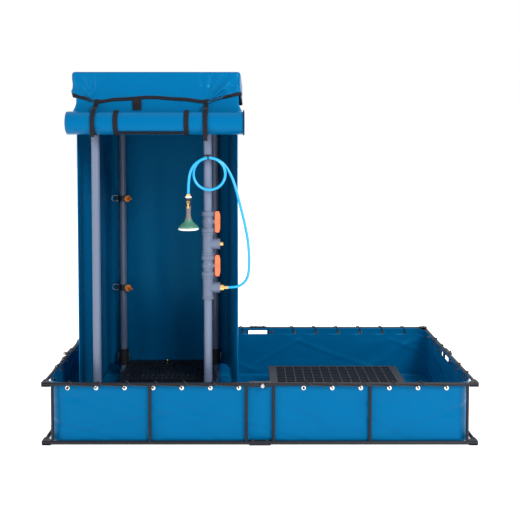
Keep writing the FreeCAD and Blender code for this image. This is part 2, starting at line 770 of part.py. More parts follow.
def base_pipes():
    """The ring on the liner floor and the nipples that stand in its corners."""
    pipes = ring_pipes(BASE_Z, base_nozzle_x())
    for x, y in STALL_CORNERS:
        pipes.append(stall_pipe(Vector(x, y, BASE_Z + SOCKET_BOTTOM), Vector(x, y, PIPE_JOINT_Z)))
    return pipes


def base_fittings():
    """Corner fittings of the base ring and the tee under the base nozzle."""
    fittings = []
    for x, y in STALL_CORNERS:
        fittings.append(socket_fitting(Vector(x, y, BASE_Z), corner_ways(x, y) + [UP], FITTING_REACH))
    centre = Vector(base_nozzle_x(), STALL_REAR, BASE_Z)
    tee = socket_fitting(centre, [RIGHT, RIGHT * -1], FITTING_REACH)
    tee = tee.fuse(rod(centre + UP * (FITTING_R - 5), centre + UP * (FITTING_R + 14), BASE_STEM_R + 6))
    fittings.append(tee.cut(rod(centre, centre + UP * (FITTING_R + 14), BASE_STEM_R + FIT)))
    return fittings


def base_nozzle():
    """The upward jet of the base ring."""
    centre = Vector(base_nozzle_x(), STALL_REAR, BASE_Z)
    stem = rod(centre + UP * (WATERWAY_R + 2), Vector(centre.x, centre.y, BASE_NOZZLE_TOP - 24), BASE_STEM_R)
    collar = rod(centre + UP * (FITTING_R + 14), centre + UP * (FITTING_R + 24), BASE_NOZZLE_R)
    head_start = Vector(centre.x, centre.y, BASE_NOZZLE_TOP - 24)
    head_rim = Vector(centre.x, centre.y, BASE_NOZZLE_TOP - 8)
    head_top = Vector(centre.x, centre.y, BASE_NOZZLE_TOP)
    head = rod(head_start, head_rim, BASE_NOZZLE_R)
    crown = taper(head_rim, head_top, BASE_NOZZLE_R, BASE_NOZZLE_R * 0.5)
    bore = rod(centre + UP * WATERWAY_R, head_top, 3.0)
    return fuse_all([stem, collar, head, crown]).cut(bore)


def cam_coupler(x, y):
    """Quick coupler round a post foot, with lugs for two cam arms, and the two arm pins."""
    body = pipe(Vector(x, y, COUPLER_Z), Vector(x, y, COUPLER_Z + COUPLER_L), COUPLER_R, PIPE_R + FIT)
    lugs = []
    holes = []
    pins = []
    lug_near = ARM_HALF_WIDTH + REST_GAP
    for sign in (-1, 1):
        for edge in (-1, 1):
            lug = block(x + sign * (COUPLER_R - 3), x + sign * LUG_REACH,
                        y + edge * lug_near, y + edge * (lug_near + LUG_T),
                        ARM_PIVOT_Z - 10, ARM_PIVOT_Z + 10)
            lugs.append(lug)
        pin_start = Vector(x + sign * ARM_PIVOT_R, y - lug_near - LUG_T, ARM_PIVOT_Z)
        pin_end = Vector(x + sign * ARM_PIVOT_R, y + lug_near + LUG_T, ARM_PIVOT_Z)
        holes.append(rod(pin_start, pin_end, CAM_PIN_R + FIT / 2))
        pins.append(rod(pin_start, pin_end, CAM_PIN_R))
    coupler = fuse_all([body] + lugs)
    coupler = coupler.cut(rod(Vector(x, y, COUPLER_Z), Vector(x, y, COUPLER_Z + COUPLER_L), PIPE_R + FIT))
    for hole in holes:
        coupler = coupler.cut(hole)
    return [coupler] + pins


def cam_arm(x, y, sign):
    """One cam arm, closed: it stands up along the coupler."""
    pivot_x = x + sign * ARM_PIVOT_R
    near = Vector(pivot_x, y - ARM_HALF_WIDTH, ARM_PIVOT_Z)
    far = Vector(pivot_x, y + ARM_HALF_WIDTH, ARM_PIVOT_Z)
    nose = rod(near, far, ARM_NOSE_R)
    tip_z = ARM_PIVOT_Z + ARM_LENGTH
    bar = block(pivot_x - ARM_HALF_T, pivot_x + ARM_HALF_T, near.y, far.y, ARM_PIVOT_Z, tip_z)
    arm = nose.fuse(bar)
    arm = arm.cut(rod(near, far, CAM_PIN_R + FIT))
    ring_hole = Vector(pivot_x - 10, y, tip_z - 8)
    return arm.cut(rod(ring_hole, ring_hole + RIGHT * 20, 3.5))


def stall_posts():
    """Three plain posts and the lower and upper pipe of the riser."""
    top = TOP_PIPE_Z - SOCKET_BOTTOM
    posts = []
    for x, y in STALL_CORNERS:
        if (x, y) != (STALL_RIGHT, STALL_FRONT):
            posts.append(stall_pipe(Vector(x, y, PIPE_JOINT_Z), Vector(x, y, top)))
    x = STALL_RIGHT
    y = STALL_FRONT
    posts.append(stall_pipe(Vector(x, y, PIPE_JOINT_Z), Vector(x, y, RISER_TEE_Z + RISER_SOCKET)))
    upper_start = UPPER_VALVE_Z + VALVE_L / 2 - SOCKET_BOTTOM
    posts.append(stall_pipe(Vector(x, y, upper_start), Vector(x, y, top)))
    return posts


def top_fittings():
    """Corner fittings under the roof."""
    ways = {}
    for x, y in STALL_CORNERS:
        ways[(x, y)] = corner_ways(x, y) + [UP * -1]
    return [socket_fitting(Vector(x, y, TOP_PIPE_Z), way, FITTING_REACH) for (x, y), way in ways.items()]


# ================================================================ riser
def riser_point(z):
    """A point on the riser's axis."""
    return Vector(STALL_RIGHT, STALL_FRONT, z)


def riser_tee(bottom_z, socketed):
    """A tee of the riser with its branch to the right."""
    bottom = riser_point(bottom_z)
    top = riser_point(bottom_z + TEE_L)
    middle = riser_point(bottom_z + TEE_L / 2)
    branch_end = middle + RIGHT * BRANCH_REACH
    tee = fuse_all([rod(bottom, top, TEE_R), rod(middle, branch_end, TEE_R)])
    tee = tee.cut(rod(bottom, top, WATERWAY_R))
    tee = tee.cut(rod(middle, branch_end, WATERWAY_R))
    if socketed:
        tee = tee.cut(rod(bottom, bottom + UP * RISER_SOCKET, PIPE_R + FIT))
    return tee


def valve_body(centre_z, socketed):
    """A ball valve's body: union nuts, round middle, stem neck, ball chamber and waterway."""
    centre = riser_point(centre_z)
    bottom = centre - UP * (VALVE_L / 2)
    top = centre + UP * (VALVE_L / 2)
    nut = UP * VALVE_NUT_L
    body = fuse_all([
        rod(bottom, top, VALVE_END_R),
        rod(bottom, bottom + nut, VALVE_R),
        rod(top - nut, top, VALVE_R),
        Part.makeSphere(VALVE_R, centre),
        rod(centre, centre + RIGHT * NECK_REACH, NECK_R),
    ])
    body = body.cut(Part.makeSphere(BALL_R + 2 * FIT, centre))
    body = body.cut(rod(bottom, top, BALL_BORE))
    body = body.cut(rod(centre, centre + RIGHT * NECK_REACH, STEM_R + FIT))
    if socketed:
        body = body.cut(rod(top - UP * SOCKET_BOTTOM, top, PIPE_R + FIT))
    return body


def valve_ball(centre_z):
    """The bored ball with its stem."""
    centre = riser_point(centre_z)
    ball = Part.makeSphere(BALL_R, centre)
    ball = ball.fuse(rod(centre + RIGHT * (BALL_R - 4), centre + RIGHT * STEM_END, STEM_R))
    return ball.cut(rod(centre - UP * BALL_R, centre + UP * BALL_R, BALL_BORE))


def valve_handle(centre_z):
    """A two-winged handle, in line with the pipe when the valve is open."""
    centre = riser_point(centre_z)
    half = HANDLE_LENGTH / 2
    hub = rod(centre + RIGHT * (NECK_REACH + REST_GAP), centre + RIGHT * HANDLE_FAR, HANDLE_HUB_R)
    quarter = [
        (HANDLE_NEAR, half - HANDLE_NOTCH), (HANDLE_NEAR + HANDLE_NOTCH, half),
        (HANDLE_FAR - HANDLE_NOTCH, half), (HANDLE_FAR, half - HANDLE_SHOULDER),
    ]
    outline = quarter + [(reach, -height) for reach, height in reversed(quarter)]
    front = centre - BACK * HANDLE_HALF_T
    corners = [front + RIGHT * reach + UP * height for reach, height in outline + outline[:1]]
    wings = Part.Face(Part.makePolygon(corners)).extrude(BACK * (2 * HANDLE_HALF_T))
    return hub.fuse(wings).cut(rod(centre, centre + RIGHT * STEM_END, STEM_R))


def inlet_adapter():
    """The brass water inlet on the upper tee."""
    middle = riser_point(UPPER_TEE_Z + TEE_L / 2)
    face = middle + RIGHT * BRANCH_REACH
    plug = rod(face - RIGHT * 15, face, WATERWAY_R - FIT)
    thread = rod(face, face + RIGHT * INLET_LENGTH, INLET_R)
    bore = rod(face - RIGHT * 15, face + RIGHT * INLET_LENGTH, INLET_R - 3)
    return plug.fuse(thread).cut(bore)


def hose_adapter():
    """The brass fitting between the lower tee and the hose."""
    middle = riser_point(RISER_TEE_Z + TEE_L / 2)
    face = middle + RIGHT * BRANCH_REACH
    step = face + RIGHT * 22
    end = middle + RIGHT * HOSE_FITTING_END
    adapter = fuse_all([
        rod(face - RIGHT * 15, face, WATERWAY_R - FIT),
        rod(face, step, ADAPTER_SHOULDER_R),
        rod(step, end, HOSE_R + 3.5),
    ])
    return adapter.cut(rod(face - RIGHT * 15, end, HOSE_R - 3))


# ================================================================ post nozzles
def nozzle_way():
    """The level direction in which the post nozzles spray, to the middle of the stall."""
    return Vector(1, -1, 0).normalize()


def nozzle_clamp(z):
    """Split clamp round the rear left post with the nozzle's spigot and the bail's ear."""
    centre = Vector(STALL_LEFT, STALL_REAR, z)
    half = UP * (CLAMP_HEIGHT / 2)
    way = nozzle_way()
    ear_x = STALL_LEFT - BAIL_PIVOT_R
    pivot_half = UP * (EAR_HALF_HEIGHT)
    pivot = Vector(ear_x, STALL_REAR, z)
    clamp = fuse_all([
        rod(centre - half, centre + half, CLAMP_R),
        rod(centre, centre + way * NOZZLE_BOSS_END, NOZZLE_BOSS_R),
        rod(centre, centre + way * (NOZZLE_BOSS_END + SPIGOT_L), SPIGOT_R),
        block(STALL_LEFT - CLAMP_R + 2, ear_x - 5, STALL_REAR - 5, STALL_REAR + 5,
              z - EAR_HALF_HEIGHT, z + EAR_HALF_HEIGHT),
    ])
    clamp = clamp.cut(rod(centre - half, centre + half, PIPE_R + FIT))
    clamp = clamp.cut(rod(pivot - pivot_half, pivot + pivot_half, BAIL_WIRE_R + FIT))
    return clamp


def spray_nozzle(z):
    """The turning cap on the spigot and the tip in it."""
    centre = Vector(STALL_LEFT, STALL_REAR, z)
    way = nozzle_way()
    seat = centre + way * (NOZZLE_BOSS_END + REST_GAP)
    face = seat + way * CAP_L
    cap = rod(seat, face, CAP_R).cut(rod(seat, seat + way * (SPIGOT_L + REST_GAP), SPIGOT_R + FIT))
    tip = taper(face, face + way * TIP_L, TIP_R, TIP_END_R)
    return [cap, tip]


def wire_bail(z):
    """The wire loop that closes the clamp, pivoting in its ear."""
    x = STALL_LEFT - BAIL_PIVOT_R
    y = STALL_REAR
    high = BAIL_HALF_HEIGHT
    inner = EAR_HALF_HEIGHT - 7
    points = [
        Vector(x, y, z + inner), Vector(x, y, z + high), Vector(x - BAIL_REACH, y, z + high),
        Vector(x - BAIL_REACH, y, z - high), Vector(x, y, z - high), Vector(x, y, z - inner),
    ]
    return round_tube(points, BAIL_WIRE_R)


# ================================================================ tarpaulins
def wall_curtain():
    """Left, rear and right walls of the stall."""
    return standing_sheet(CURTAIN_LINE, SHEET_T, CURTAIN_BOTTOM, ROOF_UNDER - REST_GAP, False)


def roof_cover():
    """Flat top with a valance all round."""
    outline = [(ROOF_LEFT, ROOF_FRONT), (ROOF_RIGHT, ROOF_FRONT), (ROOF_RIGHT, ROOF_REAR), (ROOF_LEFT, ROOF_REAR)]
    top = prism(outline, ROOF_UNDER, ROOF_UNDER + SHEET_T)
    return [top] + standing_sheet(outline, SHEET_T, VALANCE_Z, ROOF_UNDER, True)


def door_roll():
    """The rolled-up door and the flap that it hangs from, behind the valance."""
    roll = rod(Vector(ROLL_LEFT, ROLL_Y, ROLL_Z), Vector(ROLL_RIGHT, ROLL_Y, ROLL_Z), ROLL_R)
    flap_face = ROLL_Y + ROLL_R
    flap_start = ROLL_Z + math.sqrt(ROLL_R ** 2 - (ROLL_R - SHEET_T) ** 2)
    flap = block(ROOF_LEFT + FLAP_INSET, ROOF_RIGHT - FLAP_INSET, flap_face - SHEET_T, flap_face,
                 flap_start, ROOF_UNDER - REST_GAP)
    return [roll, flap]


def ring_sector(x, inner, outer, first_angle, last_angle):
    """A flat curved band round the roll, between two angles from +Y, one strap wide."""
    middle_angle = (first_angle + last_angle) / 2

    def at(radius, angle):
        return Vector(x, ROLL_Y + radius * math.cos(angle), ROLL_Z + radius * math.sin(angle))

    edges = [
        Part.Arc(at(outer, first_angle), at(outer, middle_angle), at(outer, last_angle)).toShape(),
        Part.LineSegment(at(outer, last_angle), at(inner, last_angle)).toShape(),
        Part.Arc(at(inner, last_angle), at(inner, middle_angle), at(inner, first_angle)).toShape(),
        Part.LineSegment(at(inner, first_angle), at(outer, first_angle)).toShape(),
    ]
    return Part.Face(Part.Wire(edges)).extrude(RIGHT * STRAP_W)


def strap_slope():
    """Angle on the roll where the strap leaves it, and the strap's top corner on the valance."""
    middle = ROLL_R + REST_GAP + SHEET_T / 2
    corner_y = ROOF_FRONT - SHEET_T / 2
    across = corner_y - ROLL_Y
    up = STRAP_BREAK_Z - ROLL_Z
    distance = math.hypot(across, up)
    angle = math.atan2(up, across) + math.acos(middle / distance)
    return angle, corner_y


def door_strap(centre_x, tail_z):
    """A webbing strap under the roll, from behind the flap to the valance, and its loose tail."""
    x = centre_x - STRAP_W / 2
    inner = ROLL_R + REST_GAP
    outer = inner + SHEET_T
    angle, corner_y = strap_slope()
    leave_y = ROLL_Y + math.cos(angle) * (inner + SHEET_T / 2)
    leave_z = ROLL_Z + math.sin(angle) * (inner + SHEET_T / 2)
    run = math.hypot(corner_y - leave_y, STRAP_BREAK_Z - leave_z)
    slope = block(x, x + STRAP_W, 0, run, -SHEET_T / 2, SHEET_T / 2)
    slope.rotate(Vector(0, 0, 0), RIGHT, math.degrees(math.atan2(STRAP_BREAK_Z - leave_z, corner_y - leave_y)))
    slope.translate(Vector(0, leave_y, leave_z))
    strap = fuse_all([
        ring_sector(x, inner, outer, angle - 2 * math.pi, 0),
        block(x, x + STRAP_W, ROLL_Y + inner, ROLL_Y + outer, ROLL_Z, ROOF_UNDER - REST_GAP),
        slope,
        block(x, x + STRAP_W, ROOF_FRONT - SHEET_T, ROOF_FRONT, STRAP_BREAK_Z, STRAP_TOP_Z),
    ])
    tail_inner = outer + REST_GAP
    tail_outer = tail_inner + SHEET_T
    tail = fuse_all([
        ring_sector(x, tail_inner, tail_outer, angle, math.pi),
        block(x, x + STRAP_W, ROLL_Y - tail_outer, ROLL_Y - tail_inner, tail_z, ROLL_Z),
    ])
    return [strap, tail]


def strap_buckle(centre_x):
    """A side-release buckle lying on the sloping stretch of its strap."""
    angle = strap_slope()[0]
    lift = ROLL_R + REST_GAP + SHEET_T
    body = block(centre_x - BUCKLE_W / 2, centre_x + BUCKLE_W / 2, BUCKLE_ALONG, BUCKLE_ALONG + BUCKLE_H, 0, BUCKLE_T)
    body.rotate(Vector(0, 0, 0), RIGHT, math.degrees(angle) - 90)
    body.translate(Vector(0, ROLL_Y + math.cos(angle) * lift, ROLL_Z + math.sin(angle) * lift))
    return body


# ================================================================ hose and handset
def loop_points():
    """One and a half turns of the hose in front of the riser, stepping forward as they go round."""
    points = []
    half_turns = LOOP_STEP * (LOOP_COUNT - 1) / 2
    for index in range(LOOP_COUNT):
        degrees = LOOP_STEP / 2 + LOOP_STEP * index
        from_middle = abs(LOOP_STEP * index - half_turns)
        loose = max(0.0, from_middle - half_turns + LOOP_SPREAD_DEGREES) / LOOP_SPREAD_DEGREES
        radius = LOOP_R + LOOP_SPREAD * loose ** 2
        angle = math.radians(degrees)
        x = LOOP_X + radius * math.cos(angle)
        y = LOOP_Y - LOOP_RISE * LOOP_STEP * index / 360
        z = LOOP_Z + radius * math.sin(angle)
        points.append(Vector(x, y, z))
    return points


def hose_route():
    """Every point of the hose."""
    return [Vector(*point) for point in HOSE_START] + loop_points() + [Vector(*point) for point in HOSE_END]


def hose():
    """The hose, with its radii and its volume printed."""
    points = hose_route()
    radii = [bend_radius(*trio) for trio in zip(points, points[1:], points[2:])]
    print("hose radii", " ".join("%.0f" % radius for radius in radii))
    length = rounded_route(points).Length
    tube = round_tube(points, HOSE_R)
    print("hose length %.0f, volume over section x length %.4f" % (
        length, tube.Volume / (math.pi * HOSE_R ** 2 * length)))
    return tube


def hose_tie():
    """A strap round the riser and round both strands at the top of the loop."""
    apothem = LOOP_R * math.cos(math.radians(LOOP_STEP / 2))
    strand_z = LOOP_Z + apothem
    first_y = LOOP_Y - LOOP_RISE * (90 - LOOP_STEP / 2) / 360
    second_y = first_y - LOOP_RISE
    inner = HOSE_R + TIE_GAP
    x0 = TIE_X - TIE_W / 2
    x1 = TIE_X + TIE_W / 2

    def oval(radius):
        return fuse_all([
            rod(Vector(x0, first_y, strand_z), Vector(x1, first_y, strand_z), radius),
            rod(Vector(x0, second_y, strand_z), Vector(x1, second_y, strand_z), radius),
            block(x0, x1, second_y, first_y, strand_z - radius, strand_z + radius),
        ])

    band_low = strand_z + inner + TIE_T
    band = pipe(Vector(STALL_RIGHT, STALL_FRONT, band_low), Vector(STALL_RIGHT, STALL_FRONT, band_low + TIE_W),
                PIPE_R + FIT + TIE_T, PIPE_R + FIT)
    bridge_rear = STALL_FRONT - PIPE_R
    bridge = block(x0, x1, first_y - inner - TIE_T, bridge_rear, band_low - TIE_T / 2, band_low + TIE_W)
    bridge = bridge.cut(oval(inner))
    riser = rod(riser_point(band_low - TIE_W), riser_point(band_low + 2 * TIE_W), PIPE_R + FIT)
    return fuse_all([oval(inner + TIE_T).cut(oval(inner)), band, bridge.cut(riser)])


def handset_point(z):
    """A point on the handset's axis."""
    return Vector(HANDSET_X, HANDSET_Y, z)


SHUTOFF_TOP = HANDSET_TOP - NUT_L
GRIP_TOP = SHUTOFF_TOP - SHUTOFF_L
BELL_TOP = GRIP_TOP - GRIP_L
FACE_Z = BELL_TOP - BELL_L
LEVER_Z = SHUTOFF_TOP - SHUTOFF_L / 2


def handset_nut():
    """The swivel nut on the hose end, open below for the shut-off's spigot."""
    nut = rod(handset_point(SHUTOFF_TOP), handset_point(HANDSET_TOP), NUT_R)
    flats = []
    for index in range(6):
        flat = block(HANDSET_X + NUT_R * 0.9, HANDSET_X + NUT_R + 1, HANDSET_Y - NUT_R, HANDSET_Y + NUT_R,
                     SHUTOFF_TOP, HANDSET_TOP - 6)
        flat.rotate(handset_point(0), UP, 60 * index)
        flats.append(flat)
    nut = nut.cut(Part.makeCompound(flats))
    spigot_top = HANDSET_TOP - 6
    return nut.cut(rod(handset_point(SHUTOFF_TOP), handset_point(spigot_top), HOSE_R + FIT))


def handset_valve():
    """Shut-off body with its spigot and the stub that carries the lever."""
    top = handset_point(SHUTOFF_TOP - REST_GAP)
    bottom = handset_point(GRIP_TOP)
    spigot_top = handset_point(HANDSET_TOP - 6 - REST_GAP)
    stub_start = handset_point(LEVER_Z)
    body = fuse_all([
        rod(bottom, top, SHUTOFF_R),
        rod(top, spigot_top, HOSE_R),
        rod(stub_start, stub_start - BACK * (SHUTOFF_R + 2 + LEVER_T), LEVER_STUB_R),
    ])
    return body.cut(rod(bottom, spigot_top, SHUTOFF_BORE_R))


def handset_lever():
    """The shut-off's lever, down along the body when the water is on."""
    seat = handset_point(LEVER_Z) - BACK * (SHUTOFF_R + 2)
    outer = seat - BACK * LEVER_T
    tip = UP * -LEVER_LENGTH
    lever = fuse_all([
        rod(seat, outer, LEVER_HUB_R),
        block(seat.x - LEVER_R, seat.x + LEVER_R, seat.y, outer.y, LEVER_Z - LEVER_LENGTH, LEVER_Z),
        rod(seat + tip, outer + tip, LEVER_R + 2),
    ])
    return lever.cut(rod(seat, outer, LEVER_STUB_R + FIT))


def handset_grip():
    """The hand grip under the shut-off."""
    top = handset_point(GRIP_TOP)
    waist = handset_point(GRIP_TOP - GRIP_L * 0.45)
    bottom = handset_point(BELL_TOP)
    grip = fuse_all([taper(top, waist, SHUTOFF_R, 12.5), taper(waist, bottom, 12.5, 20.0)])
    return grip.cut(rod(top, bottom, SHUTOFF_BORE_R))


def handset_bell():
    """The flared spray head: a bell of revolution, thick at its face."""
    outline = [
        Vector(0, 0, BELL_TOP), Vector(20, 0, BELL_TOP), Vector(30, 0, BELL_TOP - 12),
        Vector(46, 0, BELL_TOP - 28), Vector(BELL_R - 2, 0, BELL_TOP - 44),
        Vector(BELL_R, 0, FACE_Z + 8), Vector(BELL_R, 0, FACE_Z + 2), Vector(BELL_R - 2, 0, FACE_Z),
        Vector(0, 0, FACE_Z), Vector(0, 0, BELL_TOP),
    ]
    face = Part.Face(Part.makePolygon(outline))
    bell = face.revolve(Vector(0, 0, 0), UP, 360)
    bell.translate(Vector(HANDSET_X, HANDSET_Y, 0))
    return bell


# ================================================================ build
def main():
    os.makedirs("parts", exist_ok=True)
    for name, side in SIDES.items():
        for sign, half in zip((-1, 1), HALF_NAMES[name]):
            export("frame_" + half, frame_panel(side, sign))
        export("lock_knob_" + name, [lock_knob(side)])
    export("corner_plates", corner_plates())
    export("hinge_channels", hinge_channels())
    export("hinge_bolts", hinge_bolts())

    export("basin_liner", basin_liner())
    rings = []
    for name, side in SIDES.items():
        for run in grommet_spots(name):
            rings.extend(turned(grommet(spot), side["turn"]) for spot in run)
    export("grommets", rings)
    export("lacing_cord", lacing_cord())

    export("deck_left", left_deck())
    export("deck_right", right_deck())

    export("base_pipes", base_pipes())
    export("base_fittings", base_fittings())
    export("base_nozzle", [base_nozzle()])
    couplers = []
    for x, y in STALL_CORNERS:
        couplers.extend(cam_coupler(x, y))
        column = "left" if x == STALL_LEFT else "right"
        row = "front" if y == STALL_FRONT else "rear"
        for sign, hand in ((-1, "l"), (1, "r")):
            export("cam_arm_%s_%s_%s" % (row, column, hand), [cam_arm(x, y, sign)])
    export("cam_couplers", couplers)
    export("stall_posts", stall_posts())
    export("top_fittings", top_fittings())
    export("top_pipes", ring_pipes(TOP_PIPE_Z, None))

    export("riser_tees", [riser_tee(RISER_TEE_Z, True), riser_tee(UPPER_TEE_Z, False)])
    export("valve_bodies", [valve_body(LOWER_VALVE_Z, False), valve_body(UPPER_VALVE_Z, True)])
    for name, z in VALVE_HEIGHTS.items():
        export("valve_ball_" + name, [valve_ball(z)])
        export("valve_handle_" + name, [valve_handle(z)])
    export("inlet_adapter", [inlet_adapter()])
    export("hose_adapter", [hose_adapter()])

    export("nozzle_clamps", [nozzle_clamp(z) for z in NOZZLE_HEIGHTS.values()])
    for name, z in NOZZLE_HEIGHTS.items():
        export("spray_nozzle_" + name, spray_nozzle(z))
        export("wire_bail_" + name, [wire_bail(z)])

    export("wall_curtain", wall_curtain())
    export("roof_cover", roof_cover())
    export("door_roll", door_roll())
    straps = []
    for x, tail_z in zip(STRAP_XS, STRAP_TAIL_ZS):
        straps.extend(door_strap(x, tail_z))
    export("door_straps", straps)
    export("strap_buckles", [strap_buckle(x) for x in STRAP_XS])

    export("hose", [hose()])
    export("hose_tie", [hose_tie()])
    export("handset_nut", [handset_nut()])
    export("handset_valve", [handset_valve()])
    export("handset_lever", [handset_lever()])
    export("handset_grip", [handset_grip()])
    export("handset_bell", [handset_bell()])


main()
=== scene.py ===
import math

import bpy
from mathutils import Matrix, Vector, noise


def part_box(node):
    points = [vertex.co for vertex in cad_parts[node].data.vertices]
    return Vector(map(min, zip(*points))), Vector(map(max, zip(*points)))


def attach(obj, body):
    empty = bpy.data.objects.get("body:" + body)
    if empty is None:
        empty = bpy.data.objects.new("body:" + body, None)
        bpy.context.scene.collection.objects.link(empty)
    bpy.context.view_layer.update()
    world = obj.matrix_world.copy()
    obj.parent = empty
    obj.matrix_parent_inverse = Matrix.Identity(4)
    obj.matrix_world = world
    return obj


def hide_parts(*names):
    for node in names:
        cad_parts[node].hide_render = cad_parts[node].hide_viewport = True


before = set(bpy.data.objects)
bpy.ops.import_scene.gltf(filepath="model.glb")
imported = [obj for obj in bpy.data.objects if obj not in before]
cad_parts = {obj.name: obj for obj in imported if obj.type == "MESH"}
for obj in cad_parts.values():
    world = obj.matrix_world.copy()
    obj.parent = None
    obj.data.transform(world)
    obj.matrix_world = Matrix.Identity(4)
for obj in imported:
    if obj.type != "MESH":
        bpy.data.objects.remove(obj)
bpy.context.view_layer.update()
scene = bpy.context.scene


# ---------------------------------------------------------------- materials
def material(name, colour, rough=0.5, metal=0.0, bump=0.0, scale=200.0, mottle=0.0, mottle_scale=6.0,
             coat=0.0, rough_spread=0.0, weave=0.0, weave_scale=1500.0, stretch=(1.0, 1.0, 1.0), specular=0.5,
             tint=(1.0, 1.0, 1.0)):
    """A procedural finish in object coordinates: mottling, uneven roughness, grain and weave bumps."""
    made = bpy.data.materials.new(name)
    made.use_nodes = True
    nodes = made.node_tree.nodes
    links = made.node_tree.links
    shader = nodes["Principled BSDF"]
    shader.inputs["Metallic"].default_value = metal
    shader.inputs["Coat Weight"].default_value = coat
    shader.inputs["Coat Roughness"].default_value = 0.25
    shader.inputs["Specular IOR Level"].default_value = specular
    shader.inputs["Specular Tint"].default_value = (*tint, 1)
    place = nodes.new("ShaderNodeTexCoord")
    mapping = nodes.new("ShaderNodeMapping")
    mapping.inputs["Scale"].default_value = stretch
    links.new(place.outputs["Object"], mapping.inputs["Vector"])

    patches = nodes.new("ShaderNodeTexNoise")
    patches.inputs["Scale"].default_value = mottle_scale
    patches.inputs["Detail"].default_value = 6.0
    links.new(mapping.outputs["Vector"], patches.inputs["Vector"])
    if mottle:
        blend = nodes.new("ShaderNodeMix")
        blend.data_type = "RGBA"
        blend.inputs["A"].default_value = (*[c * (1 - mottle) for c in colour], 1)
        blend.inputs["B"].default_value = (*[min(1, c * (1 + mottle)) for c in colour], 1)
        links.new(patches.outputs["Fac"], blend.inputs["Factor"])
        links.new(blend.outputs["Result"], shader.inputs["Base Color"])
    else:
        shader.inputs["Base Color"].default_value = (*colour, 1)
    if rough_spread:
        spread = nodes.new("ShaderNodeMapRange")
        spread.inputs["To Min"].default_value = max(0.02, rough - rough_spread)
        spread.inputs["To Max"].default_value = min(1.0, rough + rough_spread)
        links.new(patches.outputs["Fac"], spread.inputs["Value"])
        links.new(spread.outputs["Result"], shader.inputs["Roughness"])
    else:
        shader.inputs["Roughness"].default_value = rough

    normal = None
    if bump:
        grain = nodes.new("ShaderNodeTexNoise")
        grain.inputs["Scale"].default_value = scale
        grain.inputs["Detail"].default_value = 4.0
        links.new(mapping.outputs["Vector"], grain.inputs["Vector"])
        relief = nodes.new("ShaderNodeBump")
        relief.inputs["Strength"].default_value = bump
        relief.inputs["Distance"].default_value = 0.4 / scale
        links.new(grain.outputs["Fac"], relief.inputs["Height"])
        normal = relief
    if weave:
        threads = []
        for direction in ("X", "Z"):
            wave = nodes.new("ShaderNodeTexWave")
            wave.bands_direction = direction
            wave.inputs["Scale"].default_value = weave_scale
            links.new(place.outputs["Object"], wave.inputs["Vector"])
            threads.append(wave)
        cross = nodes.new("ShaderNodeMath")
        cross.operation = "MAXIMUM"
        links.new(threads[0].outputs["Fac"], cross.inputs[0])
        links.new(threads[1].outputs["Fac"], cross.inputs[1])
        relief = nodes.new("ShaderNodeBump")
        relief.inputs["Strength"].default_value = weave
        relief.inputs["Distance"].default_value = 0.0003
        links.new(cross.outputs["Value"], relief.inputs["Height"])
        if normal:
            links.new(normal.outputs["Normal"], relief.inputs["Normal"])
        normal = relief
    if normal:
        links.new(normal.outputs["Normal"], shader.inputs["Normal"])
    return made


NOZZLE_WAY = (0.7071, -0.7071, 0.0)     # the way that both side sprays point
NOZZLE_TIP_START = -0.93461             # distance along that way where the caps end
CAP_CREAM = (0.66, 0.58, 0.38)
TIP_ORANGE = (0.75, 0.2, 0.02)


def two_tone_nozzle():
    """Cream cap and orange tip: the tip starts a set way out along the nozzles' shared direction."""
    made = material("nozzle_two_tone", CAP_CREAM, rough=0.4, bump=0.1, scale=800)
    nodes = made.node_tree.nodes
    links = made.node_tree.links
    place = nodes.new("ShaderNodeTexCoord")
    along = nodes.new("ShaderNodeVectorMath")
    along.operation = "DOT_PRODUCT"
    along.inputs[1].default_value = NOZZLE_WAY
    links.new(place.outputs["Object"], along.inputs[0])
    beyond = nodes.new("ShaderNodeMath")
    beyond.operation = "GREATER_THAN"
    beyond.inputs[1].default_value = NOZZLE_TIP_START
    links.new(along.outputs["Value"], beyond.inputs[0])
    blend = nodes.new("ShaderNodeMix")
    blend.data_type = "RGBA"
    blend.inputs["A"].default_value = (*CAP_CREAM, 1)
    blend.inputs["B"].default_value = (*TIP_ORANGE, 1)
    links.new(beyond.outputs["Value"], blend.inputs["Factor"])
    links.new(blend.outputs["Result"], nodes["Principled BSDF"].inputs["Base Color"])
    return made


tarp = material("tarp_blue", (0.0, 0.090, 0.225), rough=0.31, bump=0.12, scale=260, mottle=0.08,
                mottle_scale=5, rough_spread=0.07, weave=0.12, weave_scale=700, specular=0.3,
                tint=(0.08, 0.6, 1.0))
webbing_black = material("webbing_black", (0.008, 0.008, 0.012), rough=0.8, specular=0.15, bump=0.3,
                         scale=900, weave=0.5, weave_scale=420, mottle=0.3, mottle_scale=60)
powder_coat = material("powder_coat_black", (0.008, 0.009, 0.014), rough=0.42, specular=0.22, bump=0.25,
                       scale=1400, mottle=0.25, mottle_scale=30, rough_spread=0.08)
pipe_grey = material("pipe_grey", (0.10, 0.13, 0.20), rough=0.34, bump=0.05, scale=500, mottle=0.06,
                     mottle_scale=14, rough_spread=0.06, stretch=(1, 1, 0.15))
fitting_grey = material("fitting_grey", (0.085, 0.11, 0.17), rough=0.45, bump=0.12, scale=700, mottle=0.08,
                        mottle_scale=22, rough_spread=0.07)
deck_black = material("deck_black", (0.008, 0.012, 0.02), rough=0.55, specular=0.25, bump=0.3, scale=900,
                      mottle=0.25, mottle_scale=25, rough_spread=0.1)
coupler_black = material("coupler_black", (0.01, 0.01, 0.012), rough=0.48, bump=0.25, scale=1000, mottle=0.2,
                         mottle_scale=40, rough_spread=0.08)
steel = material("steel_brushed", (0.55, 0.55, 0.56), rough=0.3, metal=1.0, bump=0.15, scale=700,
                 rough_spread=0.1, mottle=0.08, mottle_scale=40, stretch=(1, 1, 6))
